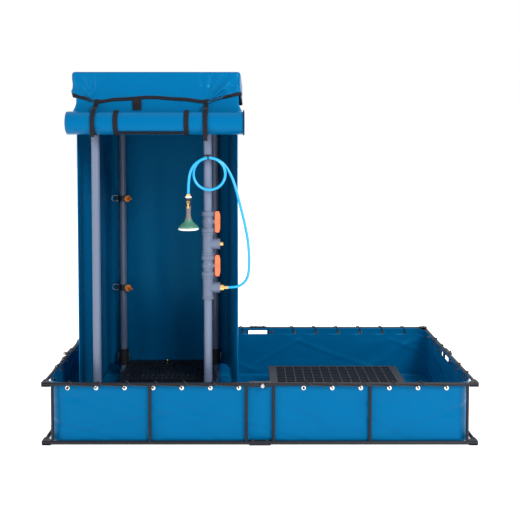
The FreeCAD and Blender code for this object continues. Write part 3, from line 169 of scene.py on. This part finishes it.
zinc = material("zinc_plate", (0.4, 0.41, 0.43), rough=0.38, metal=1.0, bump=0.15, scale=800,
                rough_spread=0.12, mottle=0.15, mottle_scale=80)
nickel = material("grommet_nickel", (0.75, 0.7, 0.63), rough=0.25, metal=1.0, bump=0.1, scale=900,
                  rough_spread=0.1, mottle=0.12, mottle_scale=60)
brass = material("brass_turned", (0.78, 0.5, 0.2), rough=0.26, metal=1.0, bump=0.12, scale=900,
                 rough_spread=0.08, mottle=0.12, mottle_scale=60)
handle_orange = material("handle_orange", (0.83, 0.13, 0.035), rough=0.35, bump=0.08, scale=700, mottle=0.06,
                         mottle_scale=30, rough_spread=0.06, coat=0.2)
hose_blue = material("hose_blue", (0.0, 0.3, 0.62), rough=0.33, bump=0.06, scale=500, mottle=0.06,
                     mottle_scale=18, rough_spread=0.06, coat=0.25)
cord_black = material("cord_black", (0.012, 0.012, 0.014), rough=0.75, bump=0.5, scale=600, mottle=0.3,
                      mottle_scale=120)
grip_brown = material("grip_brown", (0.12, 0.105, 0.1), rough=0.55, bump=0.2, scale=800, mottle=0.12,
                      mottle_scale=40)
bell_green = material("bell_green", (0.05, 0.16, 0.11), rough=0.35, bump=0.1, scale=700, mottle=0.12,
                      mottle_scale=30, coat=0.2)
nozzle_two_tone = two_tone_nozzle()
rim_white = material("rim_white", (0.8, 0.82, 0.8), rough=0.35, bump=0.08, scale=700, mottle=0.03,
                     mottle_scale=40)
floor_white = material("floor_pale", (0.98, 0.98, 0.98), rough=0.95, specular=0.0, bump=0.03, scale=60,
                       mottle=0.01, mottle_scale=2)
floor_shader = floor_white.node_tree.nodes["Principled BSDF"]
floor_shader.inputs["Emission Color"].default_value = (1, 1, 1, 1)
floor_shader.inputs["Emission Strength"].default_value = 0.45

FINISHES = {
    "frame_": powder_coat, "corner_plates": powder_coat, "hinge_channels": powder_coat,
    "lock_knob": zinc, "hinge_bolts": coupler_black, "grommets": nickel, "lacing_cord": cord_black,
    "deck_": deck_black, "base_pipes": pipe_grey, "base_fittings": fitting_grey, "base_nozzle": brass,
    "cam_couplers": coupler_black, "cam_arm": steel, "stall_posts": pipe_grey, "top_pipes": pipe_grey,
    "top_fittings": fitting_grey, "riser_tees": fitting_grey, "valve_bodies": fitting_grey,
    "valve_ball": steel, "valve_handle": handle_orange, "inlet_adapter": brass, "hose_adapter": brass,
    "nozzle_clamps": coupler_black, "spray_nozzle": nozzle_two_tone, "wire_bail": steel,
    "strap_buckles": coupler_black, "hose_tie": cord_black, "handset_nut": brass,
    "handset_valve": coupler_black, "handset_lever": brass,
}


def finish_nodes():
    """Gives every CAD node its finish by the start of its name."""
    for name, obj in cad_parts.items():
        for start, finish in FINISHES.items():
            if name.startswith(start):
                obj.data.materials.clear()
                obj.data.materials.append(finish)


# ---------------------------------------------------------------- mesh helpers
def grid_object(name, rows, finish, closed=False, thickness=0.0, skip=None, body="stall"):
    """A sheet through rows of points, closed round each row if asked, with faces left out where skip says."""
    width = len(rows[0])
    points = [point for row in rows for point in row]
    faces = []
    for r in range(len(rows) - 1):
        for c in range(width if closed else width - 1):
            d = (c + 1) % width
            face = (r * width + c, r * width + d, (r + 1) * width + d, (r + 1) * width + c)
            if skip and skip(sum((Vector(points[i]) for i in face), Vector()) / 4):
                continue
            faces.append(face)
    mesh = bpy.data.meshes.new(name)
    mesh.from_pydata([tuple(p) for p in points], [], faces)
    mesh.materials.append(finish)
    mesh.shade_smooth()
    obj = bpy.data.objects.new(name, mesh)
    scene.collection.objects.link(obj)
    if thickness:
        solid = obj.modifiers.new("thickness", "SOLIDIFY")
        solid.thickness = thickness
        solid.offset = 0
    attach(obj, body)
    return obj


def lathe(name, profile, axis_point, finish, body, segments=64):
    """A turned piece: (radius, height) pairs about the vertical through a point."""
    rows = []
    for radius, z in profile:
        row = []
        for index in range(segments):
            angle = 2 * math.pi * index / segments
            row.append((axis_point[0] + radius * math.cos(angle),
                        axis_point[1] + radius * math.sin(angle), z))
        rows.append(row)
    return grid_object(name, rows, finish, closed=True, body=body)


def ribbon(name, sections, finish, body="stall"):
    """A strap from cross-sections of four corners each, closed at both ends."""
    points = [corner for section in sections for corner in section]
    faces = []
    for index in range(len(sections) - 1):
        base = index * 4
        for side in range(4):
            following = (side + 1) % 4
            faces.append((base + side, base + following, base + 4 + following, base + 4 + side))
    last = (len(sections) - 1) * 4
    faces.append((3, 2, 1, 0))
    faces.append((last, last + 1, last + 2, last + 3))
    mesh = bpy.data.meshes.new(name)
    mesh.from_pydata([tuple(p) for p in points], [], faces)
    mesh.materials.append(finish)
    mesh.shade_smooth()
    obj = bpy.data.objects.new(name, mesh)
    scene.collection.objects.link(obj)
    edges = obj.modifiers.new("edges", "BEVEL")
    edges.width = 0.0004
    edges.segments = 2
    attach(obj, body)
    return obj


def smooth_step(low, high, value):
    """0 below low, 1 above high, smooth between."""
    t = min(1.0, max(0.0, (value - low) / (high - low)))
    return t * t * (3 - 2 * t)


def wrinkle(x, y, seed, fine=1.0):
    """Soft creases, about -1 to 1."""
    broad = noise.noise(Vector((x * 4 * fine, y * 4 * fine, seed)))
    ridge = 1 - 2 * abs(noise.noise(Vector((x * 9 * fine + 5, y * 9 * fine, seed + 7.3))))
    return 0.65 * broad + 0.35 * (ridge - 0.6)


def crease(u, v, seed):
    """A sharp fold line along the zero of a noise field, 0 to 1."""
    height = noise.noise(Vector((u, v, seed)))
    return max(0.0, 1 - 7 * abs(height)) ** 2


def rounded_loop(low, high, radius, step, corner_steps=10):
    """Points round a rounded rectangle, from the front left: (x, y, out x, out y, distance)."""
    x0, y0 = low
    x1, y1 = high
    corners = [
        ((x0 + radius, y0 + radius), 180), ((x1 - radius, y0 + radius), 270),
        ((x1 - radius, y1 - radius), 0), ((x0 + radius, y1 - radius), 90),
    ]
    plan = []
    for index, ((cx, cy), start) in enumerate(corners):
        for k in range(corner_steps + 1):
            angle = math.radians(start + 90 * k / corner_steps)
            plan.append((cx + radius * math.cos(angle), cy + radius * math.sin(angle),
                         math.cos(angle), math.sin(angle)))
        (nx, ny), next_start = corners[(index + 1) % 4]
        end_angle = math.radians(start + 90)
        sx = cx + radius * math.cos(end_angle)
        sy = cy + radius * math.sin(end_angle)
        ex = nx + radius * math.cos(math.radians(next_start))
        ey = ny + radius * math.sin(math.radians(next_start))
        count = max(2, round(math.hypot(ex - sx, ey - sy) / step))
        for k in range(1, count):
            t = k / count
            plan.append((sx + (ex - sx) * t, sy + (ey - sy) * t,
                         math.cos(end_angle), math.sin(end_angle)))
    loop = []
    distance = 0.0
    for index, (x, y, nx, ny) in enumerate(plan):
        if index:
            distance += math.hypot(x - plan[index - 1][0], y - plan[index - 1][1])
        loop.append((x, y, nx, ny, distance))
    return loop


# ---------------------------------------------------------------- camera
def set_camera():
    """Eye level, in front of the basin's middle, turned slightly down."""
    data = bpy.data.cameras.new("camera")
    data.lens = 50.8
    data.sensor_width = 36.0
    data.shift_x = 0.019
    data.shift_y = -0.169
    camera = bpy.data.objects.new("camera", data)
    camera.location = (-0.055, -4.65, 1.705)
    camera.rotation_euler = (math.radians(90 - 2.5), 0, 0)
    scene.collection.objects.link(camera)
    scene.camera = camera


# ---------------------------------------------------------------- hose
HOSE_START = [
    (-0.182, -0.433, 0.853), (-0.138, -0.433, 0.853), (-0.098, -0.439, 0.872), (-0.070, -0.446, 0.908),
    (-0.060, -0.456, 0.967), (-0.060, -0.474, 1.043), (-0.067, -0.485, 1.135), (-0.088, -0.486, 1.240),
    (-0.113, -0.480, 1.340), (-0.135, -0.474, 1.425), (-0.153, -0.469, 1.480),
]
HOSE_END = [(-0.405, -0.500, 1.468), (-0.405, -0.500, 1.399)]
HOSE_R = 0.008
LOOP_COUNT = 18
LOOP_STEP = 30
LOOP_X = -0.287
LOOP_Y = -0.469
LOOP_Z = 1.513
LOOP_R = 0.094
LOOP_RISE = 0.0175                 # forward step of one turn
LOOP_SPREAD = 0.014                # how much wider the loop is at both ends
LOOP_SPREAD_DEGREES = 60


def hose_loop():
    """One and a half turns in front of the riser, stepping forward and a little wider at both ends."""
    points = []
    half_turns = LOOP_STEP * (LOOP_COUNT - 1) / 2
    for index in range(LOOP_COUNT):
        from_middle = abs(LOOP_STEP * index - half_turns)
        loose = max(0.0, from_middle - half_turns + LOOP_SPREAD_DEGREES) / LOOP_SPREAD_DEGREES
        radius = LOOP_R + LOOP_SPREAD * loose ** 2
        angle = math.radians(LOOP_STEP / 2 + LOOP_STEP * index)
        points.append((LOOP_X + radius * math.cos(angle), LOOP_Y - LOOP_RISE * LOOP_STEP * index / 360,
                       LOOP_Z + radius * math.sin(angle)))
    return points


def make_hose():
    """The light blue hose as one smooth spline."""
    points = HOSE_START + hose_loop() + HOSE_END
    curve = bpy.data.curves.new("hose_line", "CURVE")
    curve.dimensions = "3D"
    spline = curve.splines.new("NURBS")
    spline.points.add(len(points) - 1)
    for control, point in zip(spline.points, points):
        control.co = (*point, 1)
    spline.order_u = 3
    spline.use_endpoint_u = True
    spline.resolution_u = 8
    curve.bevel_depth = HOSE_R
    curve.bevel_resolution = 8
    curve.use_fill_caps = True
    curve.materials.append(hose_blue)
    obj = bpy.data.objects.new("hose_line", curve)
    scene.collection.objects.link(obj)
    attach(obj, "stall")
    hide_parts("hose")


# ---------------------------------------------------------------- basin liner
SHEET_T = 0.0012                   # thickness of the tarp
LINER_TOP = 0.349
HEM_LOW = 0.302                    # folds and puckers end here, below the hem
SLOT_LOW = 0.306
SLOT_HIGH = 0.332
SLOT_HALF = 0.070
LINER_CORNER = 0.10
LACE_PITCH = 0.16
FLOOR_Z = 0.0017
FLOOR_INSET = 0.015                # where the wall's curve has become floor
FLOOR_RINGS = 26


def wall_offset(s, z):
    """How far the liner's wall stands out: hem, sag, diagonal folds and puckers at the lacing."""
    hem = 0.0004 if z > SLOT_LOW else -0.0004
    slack = smooth_step(HEM_LOW, 0.24, z) * smooth_step(0.0, 0.05, z)
    sag = -0.004 * slack * (0.6 + wrinkle(s * 0.7 + z * 1.6, z * 1.3, 2.0))
    rising = crease(s * 1.9 + z * 4.2, z * 2.6, 5.0)
    falling = crease(s * 1.6 - z * 3.8, z * 2.2, 11.0)
    folds = -0.0055 * slack * (rising + falling)
    pucker = -0.0024 * smooth_step(0.17, 0.29, z) * (0.5 + 0.5 * math.sin(s * 2 * math.pi / LACE_PITCH)) ** 2
    pucker *= 1 - smooth_step(HEM_LOW, SLOT_LOW, z)
    return hem + sag + folds + pucker


def in_hand_slot(p):
    """Whether a point of the liner lies in the rear or the right hand slot."""
    at_rear = p.y > 0.55 and abs(p.x) < SLOT_HALF
    at_right = p.x > 1.15 and abs(p.y) < SLOT_HALF
    return SLOT_LOW < p.z < SLOT_HIGH and (at_rear or at_right)


def make_liner():
    """One sheet: floor, rounded corners, walls and a double hem at the top, with two hand slots."""
    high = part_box("basin_liner")[1]
    half_x = high.x - 0.0007
    half_y = high.y - 0.0007
    loop = rounded_loop((-half_x, -half_y), (half_x, half_y), LINER_CORNER, 0.014)
    heights = [LINER_TOP, LINER_TOP - 0.004, 0.338, SLOT_HIGH, 0.324, 0.316, 0.311, 0.3085, SLOT_LOW, HEM_LOW,
               0.295]
    heights += [0.287 - 0.0115 * k for k in range(23)] + [0.024]
    rows = []
    for z in heights:
        row = []
        for x, y, nx, ny, s in loop:
            out = wall_offset(s, z)
            row.append((x + nx * out, y + ny * out, z))
        rows.append(row)
    for inset, z in ((0.002, 0.010), (0.007, 0.0045), (FLOOR_INSET, 0.0025)):
        rows.append([(x - nx * inset, y - ny * inset, z) for x, y, nx, ny, s in loop])
    for ring in range(1, FLOOR_RINGS + 1):
        t = 1 - ring / (FLOOR_RINGS + 0.5)
        row = []
        for x, y, nx, ny, s in loop:
            fx = (x - nx * FLOOR_INSET) * t
            fy = (y - ny * FLOOR_INSET) * t
            row.append((fx, fy, FLOOR_Z + 0.0008 * (0.5 + 0.5 * wrinkle(fx * 2, fy * 2, 4.0))))
        rows.append(row)

    liner = grid_object("liner_sheet", rows, tarp, closed=True, thickness=SHEET_T, skip=in_hand_slot)
    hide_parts("basin_liner")


# ---------------------------------------------------------------- curtain
def curtain_plan():
    """Plan of the curtain from its left front edge round the back to its right front edge."""
    corners = [(-1.055, -0.405), (-1.034, 0.5215), (-0.209, 0.5215), (-0.129, -0.405)]
    radius = 0.05
    dense = []
    for index in range(3):
        a = Vector(corners[index])
        b = Vector(corners[index + 1])
        length = (b - a).length
        way = (b - a) / length
        start = radius if index > 0 else 0.0
        end = length - (radius if index < 2 else 0.0)
        count = round((end - start) / 0.012)
        dense += [a + way * (start + (end - start) * k / count) for k in range(count + 1)]
        if index < 2:
            after = (Vector(corners[index + 2]) - b).normalized()
            for k in range(1, 6):
                t = k / 6
                into = (b - way * radius) * (1 - t) ** 2
                dense.append(into + b * 2 * t * (1 - t) + (b + after * radius) * t * t)
    return dense


def make_curtain():
    """The three walls as one hanging sheet with vertical folds that open towards the bottom."""
    plan = curtain_plan()
    distances = [0.0]
    for a, b in zip(plan, plan[1:]):
        distances.append(distances[-1] + (b - a).length)
    total = distances[-1]
    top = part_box("wall_curtain")[1].z - 0.002
    bottom = 0.112
    rows = []
    count = 90
    for r in range(count + 1):
        z = top - (top - bottom) * r / count
        drop = (top - z) / (top - bottom)
        row = []
        for index, point in enumerate(plan):
            before = plan[max(0, index - 1)]
            after = plan[min(len(plan) - 1, index + 1)]
            way = (after - before).normalized()
            out = Vector((-way.y, way.x))
            s = distances[index]
            swing = 0.0012 + 0.0055 * drop
            fold = swing * (0.6 * math.sin(s * 31 + 1.1 * z + 0.5) + 0.4 * math.sin(s * 17.3 - 0.7 * z))
            from_front = min(s, total - s)
            gather = 0.0
            if s > total / 2:
                gather = smooth_step(0.42, 0.05, from_front) * (0.35 + 0.65 * drop)
            fold += 0.010 * gather * math.sin(from_front * 58 + 0.5 * math.sin(z * 2.2))
            fold += 0.0035 * wrinkle(s, z * 0.8, 9.0) * (0.4 + drop)
            fold *= smooth_step(0.0, 0.12, drop * 1.98) * 0.9 + 0.1
            fold *= 0.25 + 0.75 * smooth_step(0.0, 0.05, from_front)
            row.append((point.x + out.x * fold, point.y + out.y * fold, z))
        rows.append(row)
    curtain = grid_object("curtain_sheet", rows, tarp, thickness=SHEET_T)
    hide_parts("wall_curtain")
    make_hems(plan, top, bottom)


def make_hems(plan, top, bottom):
    """Welded hem strips down both front edges of the curtain."""
    hem_top = top - 0.16
    for name, points in (("hem_left", plan[:4]), ("hem_right", plan[-4:])):
        rows = []
        for r in range(61):
            z = hem_top - (hem_top - bottom) * r / 60
            rows.append([(p.x, p.y, z) for p in points])
        hem = grid_object(name, rows, tarp, thickness=0.0036)


# ---------------------------------------------------------------- roof cover
STRAP_XS = (-0.925, -0.303)
VALANCE_FRONT_Y = -0.45            # the front valance lies before this
ROOF_TOP = 2.09
VALANCE_LINE = [
    (-1.068, 1.953), (-1.00, 1.935), (-0.925, 1.913), (-0.80, 1.927), (-0.62, 1.938),
    (-0.45, 1.928), (-0.303, 1.913), (-0.22, 1.936), (-0.109, 1.958),
]


def valance_bottom(x, y):
    """Height of the valance's lower edge: pulled down at the two straps in front, nearly level elsewhere."""
    if y > VALANCE_FRONT_Y:
        return 1.952 + 0.003 * math.sin(x * 9 + y * 11)
    for (xa, za), (xb, zb) in zip(VALANCE_LINE, VALANCE_LINE[1:]):
        if x <= xb:
            t = max(0.0, (x - xa) / (xb - xa))
            t = t * t * (3 - 2 * t)
            return za + (zb - za) * t
    return VALANCE_LINE[-1][1]


def valance_bulge(x, y, z):
    """How far the valance stands out: creases from the top corners to the straps, and soft wrinkles."""
    if y > VALANCE_FRONT_Y:
        return 0.002 * wrinkle(x + y, z, 3.0)
    depth = smooth_step(ROOF_TOP, 2.0, z)
    bulge = 0.0022 * wrinkle(x * 1.2, z * 1.5, 6.0) * depth
    strap_z = 1.905
    for strap_x, corner_x, size in ((STRAP_XS[0], -1.068, 0.0060), (STRAP_XS[1], -0.109, 0.0095)):
        dx = x - strap_x
        dz = z - strap_z
        reach = math.hypot(dx, dz)
        angle = math.atan2(dz, dx)
        toward = math.atan2(ROOF_TOP - strap_z, corner_x - strap_x)
        lobe = max(0.0, math.cos(angle - toward)) ** 2
        near = smooth_step(0.0, 0.05, reach) * smooth_step(0.26, 0.08, reach)
        bulge += size * lobe * math.sin(angle * 17 + 3 * reach) * near
    crossed = crease(x * 7 + z * 5, z * 6, 21.0) + crease(x * 5 - z * 8, z * 5, 27.0)
    crumple = smooth_step(-0.36, -0.16, x) * crossed
    return bulge + (0.0060 * crumple + 0.0035 * crease(x * 3.5, z * 7, 33.0)) * depth


def make_roof():
    """Flat top with soft edges and a valance all round, bound with black tape."""
    low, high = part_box("roof_cover")
    loop = rounded_loop((low.x + 0.001, low.y + 0.001), (high.x - 0.001, high.y - 0.001), 0.022, 0.011, 6)
    top_z = high.z - 0.0008
    edge = 0.014
    rows = []
    for r in range(27):
        row = []
        for x, y, nx, ny, s in loop:
            bottom = valance_bottom(x, y)
            z = bottom + (top_z - edge - bottom) * r / 26
            out = valance_bulge(x, y, z)
            row.append((x + nx * out, y + ny * out, z))
        rows.append(row)
    for k in range(1, 6):
        angle = math.radians(90 * k / 5)
        inset = edge * (1 - math.cos(angle))
        z = top_z - edge + edge * math.sin(angle)
        rows.append([(x - nx * inset, y - ny * inset, z) for x, y, nx, ny, s in loop])
    centre = Vector(((low.x + high.x) / 2, (low.y + high.y) / 2))
    for ring in range(1, 21):
        t = 1 - ring / 20.5
        row = []
        for x, y, nx, ny, s in loop:
            px = centre.x + (x - nx * edge - centre.x) * t
            py = centre.y + (y - ny * edge - centre.y) * t
            dip = 0.0012 + 0.0006 * (1 + wrinkle(px * 2, py * 2, 8.0))
            row.append((px, py, top_z - dip * (1 - t)))
        rows.append(row)
    roof = grid_object("roof_sheet", rows, tarp, closed=True, thickness=SHEET_T)
    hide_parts("roof_cover")
    make_binding(loop)
    make_valance_tab()


def make_binding(loop):
    """Black tape folded over the valance's lower edge."""
    rows = []
    for lift, gap in ((0.019, 0.0016), (0.012, 0.002), (0.004, 0.002), (-0.0005, 0.0009), (-0.0005, -0.0009),
                      (0.004, -0.002), (0.012, -0.002), (0.019, -0.0016)):
        row = []
        for x, y, nx, ny, s in loop:
            z = valance_bottom(x, y) + lift
            out = valance_bulge(x, y, z) + gap
            row.append((x + nx * out, y + ny * out, z))
        rows.append(row)
    tape = grid_object("valance_binding", rows, webbing_black, closed=True)


def make_valance_tab():
    """The loose black tab that hangs from the valance's edge."""
    sections = []
    for r in range(9):
        z = 1.936 - 0.060 * r / 8
        y = -0.4805 - 0.002 * math.sin(r * 0.7)
        sections.append([(-0.721, y, z), (-0.671, y, z), (-0.671, y - 0.0016, z), (-0.721, y - 0.0016, z)])
    tab = ribbon("valance_tab", sections, webbing_black)


# ---------------------------------------------------------------- rolled door
ROLL_Y = -0.540
ROLL_Z = 1.802
ROLL_R = 0.069
ROLL_CORE = 0.020
ROLL_PITCH = 0.0072


def make_door():
    """The door as one sheet: a spiral of turns, then up behind the valance."""
    low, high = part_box("door_roll")
    turns = (ROLL_R - ROLL_CORE) / ROLL_PITCH
    steps = round(turns * 36)
    flap_top = high.z - 0.002
    columns = 72
    rows = []
    for k in range(steps + 1):
        radius = ROLL_CORE + (ROLL_R - 0.0012 - ROLL_CORE) * k / steps
        angle = -2 * math.pi * (steps - k) / 36
        row = []
        for c in range(columns + 1):
            x = low.x + (high.x - low.x) * c / columns
            around = Vector((math.cos(angle), math.sin(angle)))
            crinkle = 0.0012 + 0.0016 * smooth_step(-0.45, -0.1, x)
            wave = crinkle * wrinkle(x * 3, angle * 0.35, 12.0, 1.3) * (k / steps)
            wave -= 0.0025 * sum(math.exp(-((x - strap_x) / 0.02) ** 2) for strap_x in STRAP_XS)
            row.append((x, ROLL_Y + around.x * (radius + wave), ROLL_Z + around.y * (radius + wave)))
        rows.append(row)
    for k in range(1, 21):
        z = ROLL_Z + (flap_top - ROLL_Z) * k / 20
        row = []
        for c in range(columns + 1):
            x = low.x + (high.x - low.x) * c / columns
            tuck = smooth_step(0.02, 0.12, z - ROLL_Z)
            tucked_x = -0.5885 + (x + 0.59) * 0.93
            x += (tucked_x - x) * tuck
            row.append((x, ROLL_Y + ROLL_R - 0.0012 - 0.0008 * tuck, z))
        rows.append(row)
    door = grid_object("door_sheet", rows, tarp, thickness=0.0011)
    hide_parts("door_roll")
    make_door_tapes()


def make_door_tapes():
    """Black tapes sewn on the door: two across, one along the edge between them, and a right hem."""
    radius = ROLL_R + 0.0012

    def patch(name, x0, x1, first, last):
        rows = []
        for k in range(25):
            angle = math.radians(first + (last - first) * k / 24)
            rows.append([(x0 + (x1 - x0) * c / 12, ROLL_Y + radius * math.cos(angle),
                          ROLL_Z + radius * math.sin(angle)) for c in range(13)])
        tape = grid_object(name, rows, webbing_black, thickness=0.0012)

    patch("door_tape_left", -0.812, -0.785, 95, 262)
    patch("door_tape_right", -0.421, -0.394, 95, 262)
    patch("door_tape_bottom", -0.785, -0.421, 226, 246)
    patch("door_hem_right", -0.094, -0.088, 60, 330)


# ---------------------------------------------------------------- straps
WEBBING_W = 0.025
WEBBING_T = 0.0018


def strap_profile(points_with_out, width_centre):
    """Cross-sections of a strap along a profile of (y, z, out y, out z)."""
    sections = []
    for y, z, oy, oz in points_with_out:
        inner = (y - oy * WEBBING_T / 2, z - oz * WEBBING_T / 2)
        outer = (y + oy * WEBBING_T / 2, z + oz * WEBBING_T / 2)
        x0 = width_centre - WEBBING_W / 2
        x1 = width_centre + WEBBING_W / 2
        sections.append([(x0, *inner), (x1, *inner), (x1, *outer), (x0, *outer)])
    return sections


def make_strap(name, x, tail_z):
    """A webbing strap: down behind the flap, under the roll, up to the valance, and the loose tail."""
    middle = ROLL_R + 0.0013
    corner = (-0.4795, 1.912)
    across = corner[0] - ROLL_Y
    up = corner[1] - ROLL_Z
    leave = math.atan2(up, across) + math.acos(middle / math.hypot(across, up))
    line = [(ROLL_Y + middle, 2.06 - 0.02 * k, 1, 0) for k in range(13)]
    count = 40
    for k in range(count + 1):
        angle = (leave - 2 * math.pi) * k / count
        line.append((ROLL_Y + middle * math.cos(angle), ROLL_Z + middle * math.sin(angle),
                     math.cos(angle), math.sin(angle)))
    out = (math.cos(leave), math.sin(leave))
    start = (line[-1][0], line[-1][1])
    for k in range(1, 9):
        t = k / 8
        line.append((start[0] + (corner[0] - start[0]) * t, start[1] + (corner[1] - start[1]) * t, *out))
    line += [(corner[0] - 0.0008, corner[1] + 0.006 * k, -1, 0) for k in range(1, 5)]
    strap = ribbon(name, strap_profile(line, x), webbing_black)

    far = middle + 0.0024
    tail = []
    for k in range(17):
        angle = leave + (math.pi - leave) * k / 16
        tail.append((ROLL_Y + far * math.cos(angle), ROLL_Z + far * math.sin(angle),
                     math.cos(angle), math.sin(angle)))
    for k in range(1, 13):
        z = ROLL_Z - (ROLL_Z - tail_z) * k / 12
        tail.append((ROLL_Y - far + 0.002 * math.sin(k * 0.5), z, -1, 0))
    loose = ribbon(name + "_tail", strap_profile(tail, x + 0.001), webbing_black)
    return strap


def make_straps():
    """Both door straps."""
    left = make_strap("strap_left", STRAP_XS[0], 1.722)
    make_strap("strap_right", STRAP_XS[1], 1.700)
    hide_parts("door_straps")


# ---------------------------------------------------------------- handset
HANDSET = (-0.405, -0.500)


def make_handset():
    """Grip, bell, rim and pierced face of the hand sprayer, all turned."""
    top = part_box("handset_grip")[1].z
    bell_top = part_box("handset_bell")[1].z
    face_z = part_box("handset_bell")[0].z
    grip = lathe("grip_body", [(0.0, top), (0.0135, top), (0.0148, top - 0.003), (0.0140, top - 0.012),
                               (0.0125, top - 0.030), (0.0128, top - 0.045), (0.0150, top - 0.062),
                               (0.0195, bell_top + 0.002)], HANDSET, grip_brown, "handset")
    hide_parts("handset_grip")
    flare = [
        (0.0190, bell_top + 0.003), (0.0225, bell_top - 0.006), (0.0285, bell_top - 0.014),
        (0.0375, bell_top - 0.023), (0.0475, bell_top - 0.032), (0.0550, bell_top - 0.040),
        (0.0570, face_z + 0.014), (0.0565, face_z + 0.010),
    ]
    bell = lathe("bell_body", flare, HANDSET, bell_green, "handset")
    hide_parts("handset_bell")
    rim = lathe("bell_rim", [(0.0545, face_z + 0.0125), (0.0575, face_z + 0.011), (0.0580, face_z + 0.006),
                             (0.0572, face_z + 0.0015), (0.0550, face_z), (0.0520, face_z + 0.0008),
                             (0.0505, face_z + 0.003), (0.0, face_z + 0.003)], HANDSET, rim_white, "handset")
    collar = lathe("handset_ring", [(0.0142, 1.3775), (0.0172, 1.3780), (0.0178, 1.3800), (0.0178, 1.3840),
                                    (0.0172, 1.3860), (0.0142, 1.3865)], HANDSET, rim_white, "stall")
    for ring, count in ((0.012, 6), (0.024, 12), (0.036, 18), (0.046, 24)):
        for index in range(count):
            angle = 2 * math.pi * index / count
            spot = (HANDSET[0] + ring * math.cos(angle), HANDSET[1] + ring * math.sin(angle))
            jet = lathe("spray_jet_%d_%d" % (count, index),
                        [(0.0, face_z + 0.0012), (0.0009, face_z + 0.0012), (0.0013, face_z + 0.0032)],
                        spot, grip_brown, "handset", 8)


# ---------------------------------------------------------------- riser details
RISER = (-0.299, -0.433)


def collar_ring(name, centre_z, radius, height, ribs=0):
    """A rounded collar round the riser, fluted where ribs are asked for."""
    rows = []
    segments = ribs * 4 if ribs else 64
    profile = [(-0.5, -0.0022), (-0.44, -0.0004), (-0.3, 0.0), (0.3, 0.0), (0.44, -0.0004), (0.5, -0.0022)]
    for share, inset in profile:
        row = []
        for index in range(segments):
            angle = 2 * math.pi * index / segments
            flute = -0.0011 * (0.5 + 0.5 * math.cos(angle * ribs)) if ribs else 0.0
            r = radius + inset + flute
            row.append((RISER[0] + r * math.cos(angle), RISER[1] + r * math.sin(angle),
                        centre_z + share * height))
        rows.append(row)
    ring = grid_object(name, rows, fitting_grey, closed=True, thickness=0.002)


def make_riser_details():
    """Fluted union nuts at the valve ends and rolled rims on the tees."""
    for index, z in enumerate((0.933, 1.027, 1.187, 1.281)):
        collar_ring("union_nut_%d" % index, z, 0.0346, 0.024, ribs=18)
    for index, z in enumerate((0.793, 0.913, 1.047, 1.167)):
        collar_ring("tee_rim_%d" % index, z, 0.0330, 0.012)


# ---------------------------------------------------------------- stage and light
def area_light(name, place, target, size, power, size_y=None):
    """A soft box that points at a target."""
    data = bpy.data.lights.new(name, "AREA")
    data.shape = "RECTANGLE"
    data.size = size
    data.size_y = size_y or size
    data.energy = power
    lamp = bpy.data.objects.new(name, data)
    lamp.location = place
    lamp.rotation_euler = (Vector(target) - Vector(place)).to_track_quat("-Z", "Y").to_euler()
    scene.collection.objects.link(lamp)


def set_stage():
    """A white floor, a key light from the front right, a fill from the left and a rim light from behind."""
    mesh = bpy.data.meshes.new("floor")
    size = 40.0
    corners = [(-size, -size, 0), (size, -size, 0), (size, size, 0), (-size, size, 0)]
    mesh.from_pydata(corners, [], [(0, 1, 2, 3)])
    mesh.materials.append(floor_white)
    floor = bpy.data.objects.new("floor", mesh)
    floor.location.z = -0.0005
    scene.collection.objects.link(floor)
    world = bpy.data.worlds.new("studio")
    world.use_nodes = True
    world.node_tree.nodes["Background"].inputs["Color"].default_value = (1, 1, 1, 1)
    world.node_tree.nodes["Background"].inputs["Strength"].default_value = 1.0
    scene.world = world
    scene.view_settings.view_transform = "Standard"
    area_light("key", (2.4, -4.2, 3.8), (-0.2, 0, 0.8), 1.4, 245, 1.8)
    area_light("fill", (-3.8, -3.4, 2.2), (-0.4, 0, 0.9), 1.6, 40, 2.0)
    area_light("rim", (0.5, 3.0, 3.6), (0, 0, 0.8), 2.4, 50)


finish_nodes()
set_camera()
make_hose()
make_liner()
make_curtain()
make_roof()
make_door()
make_straps()
make_handset()
make_riser_details()
set_stage()
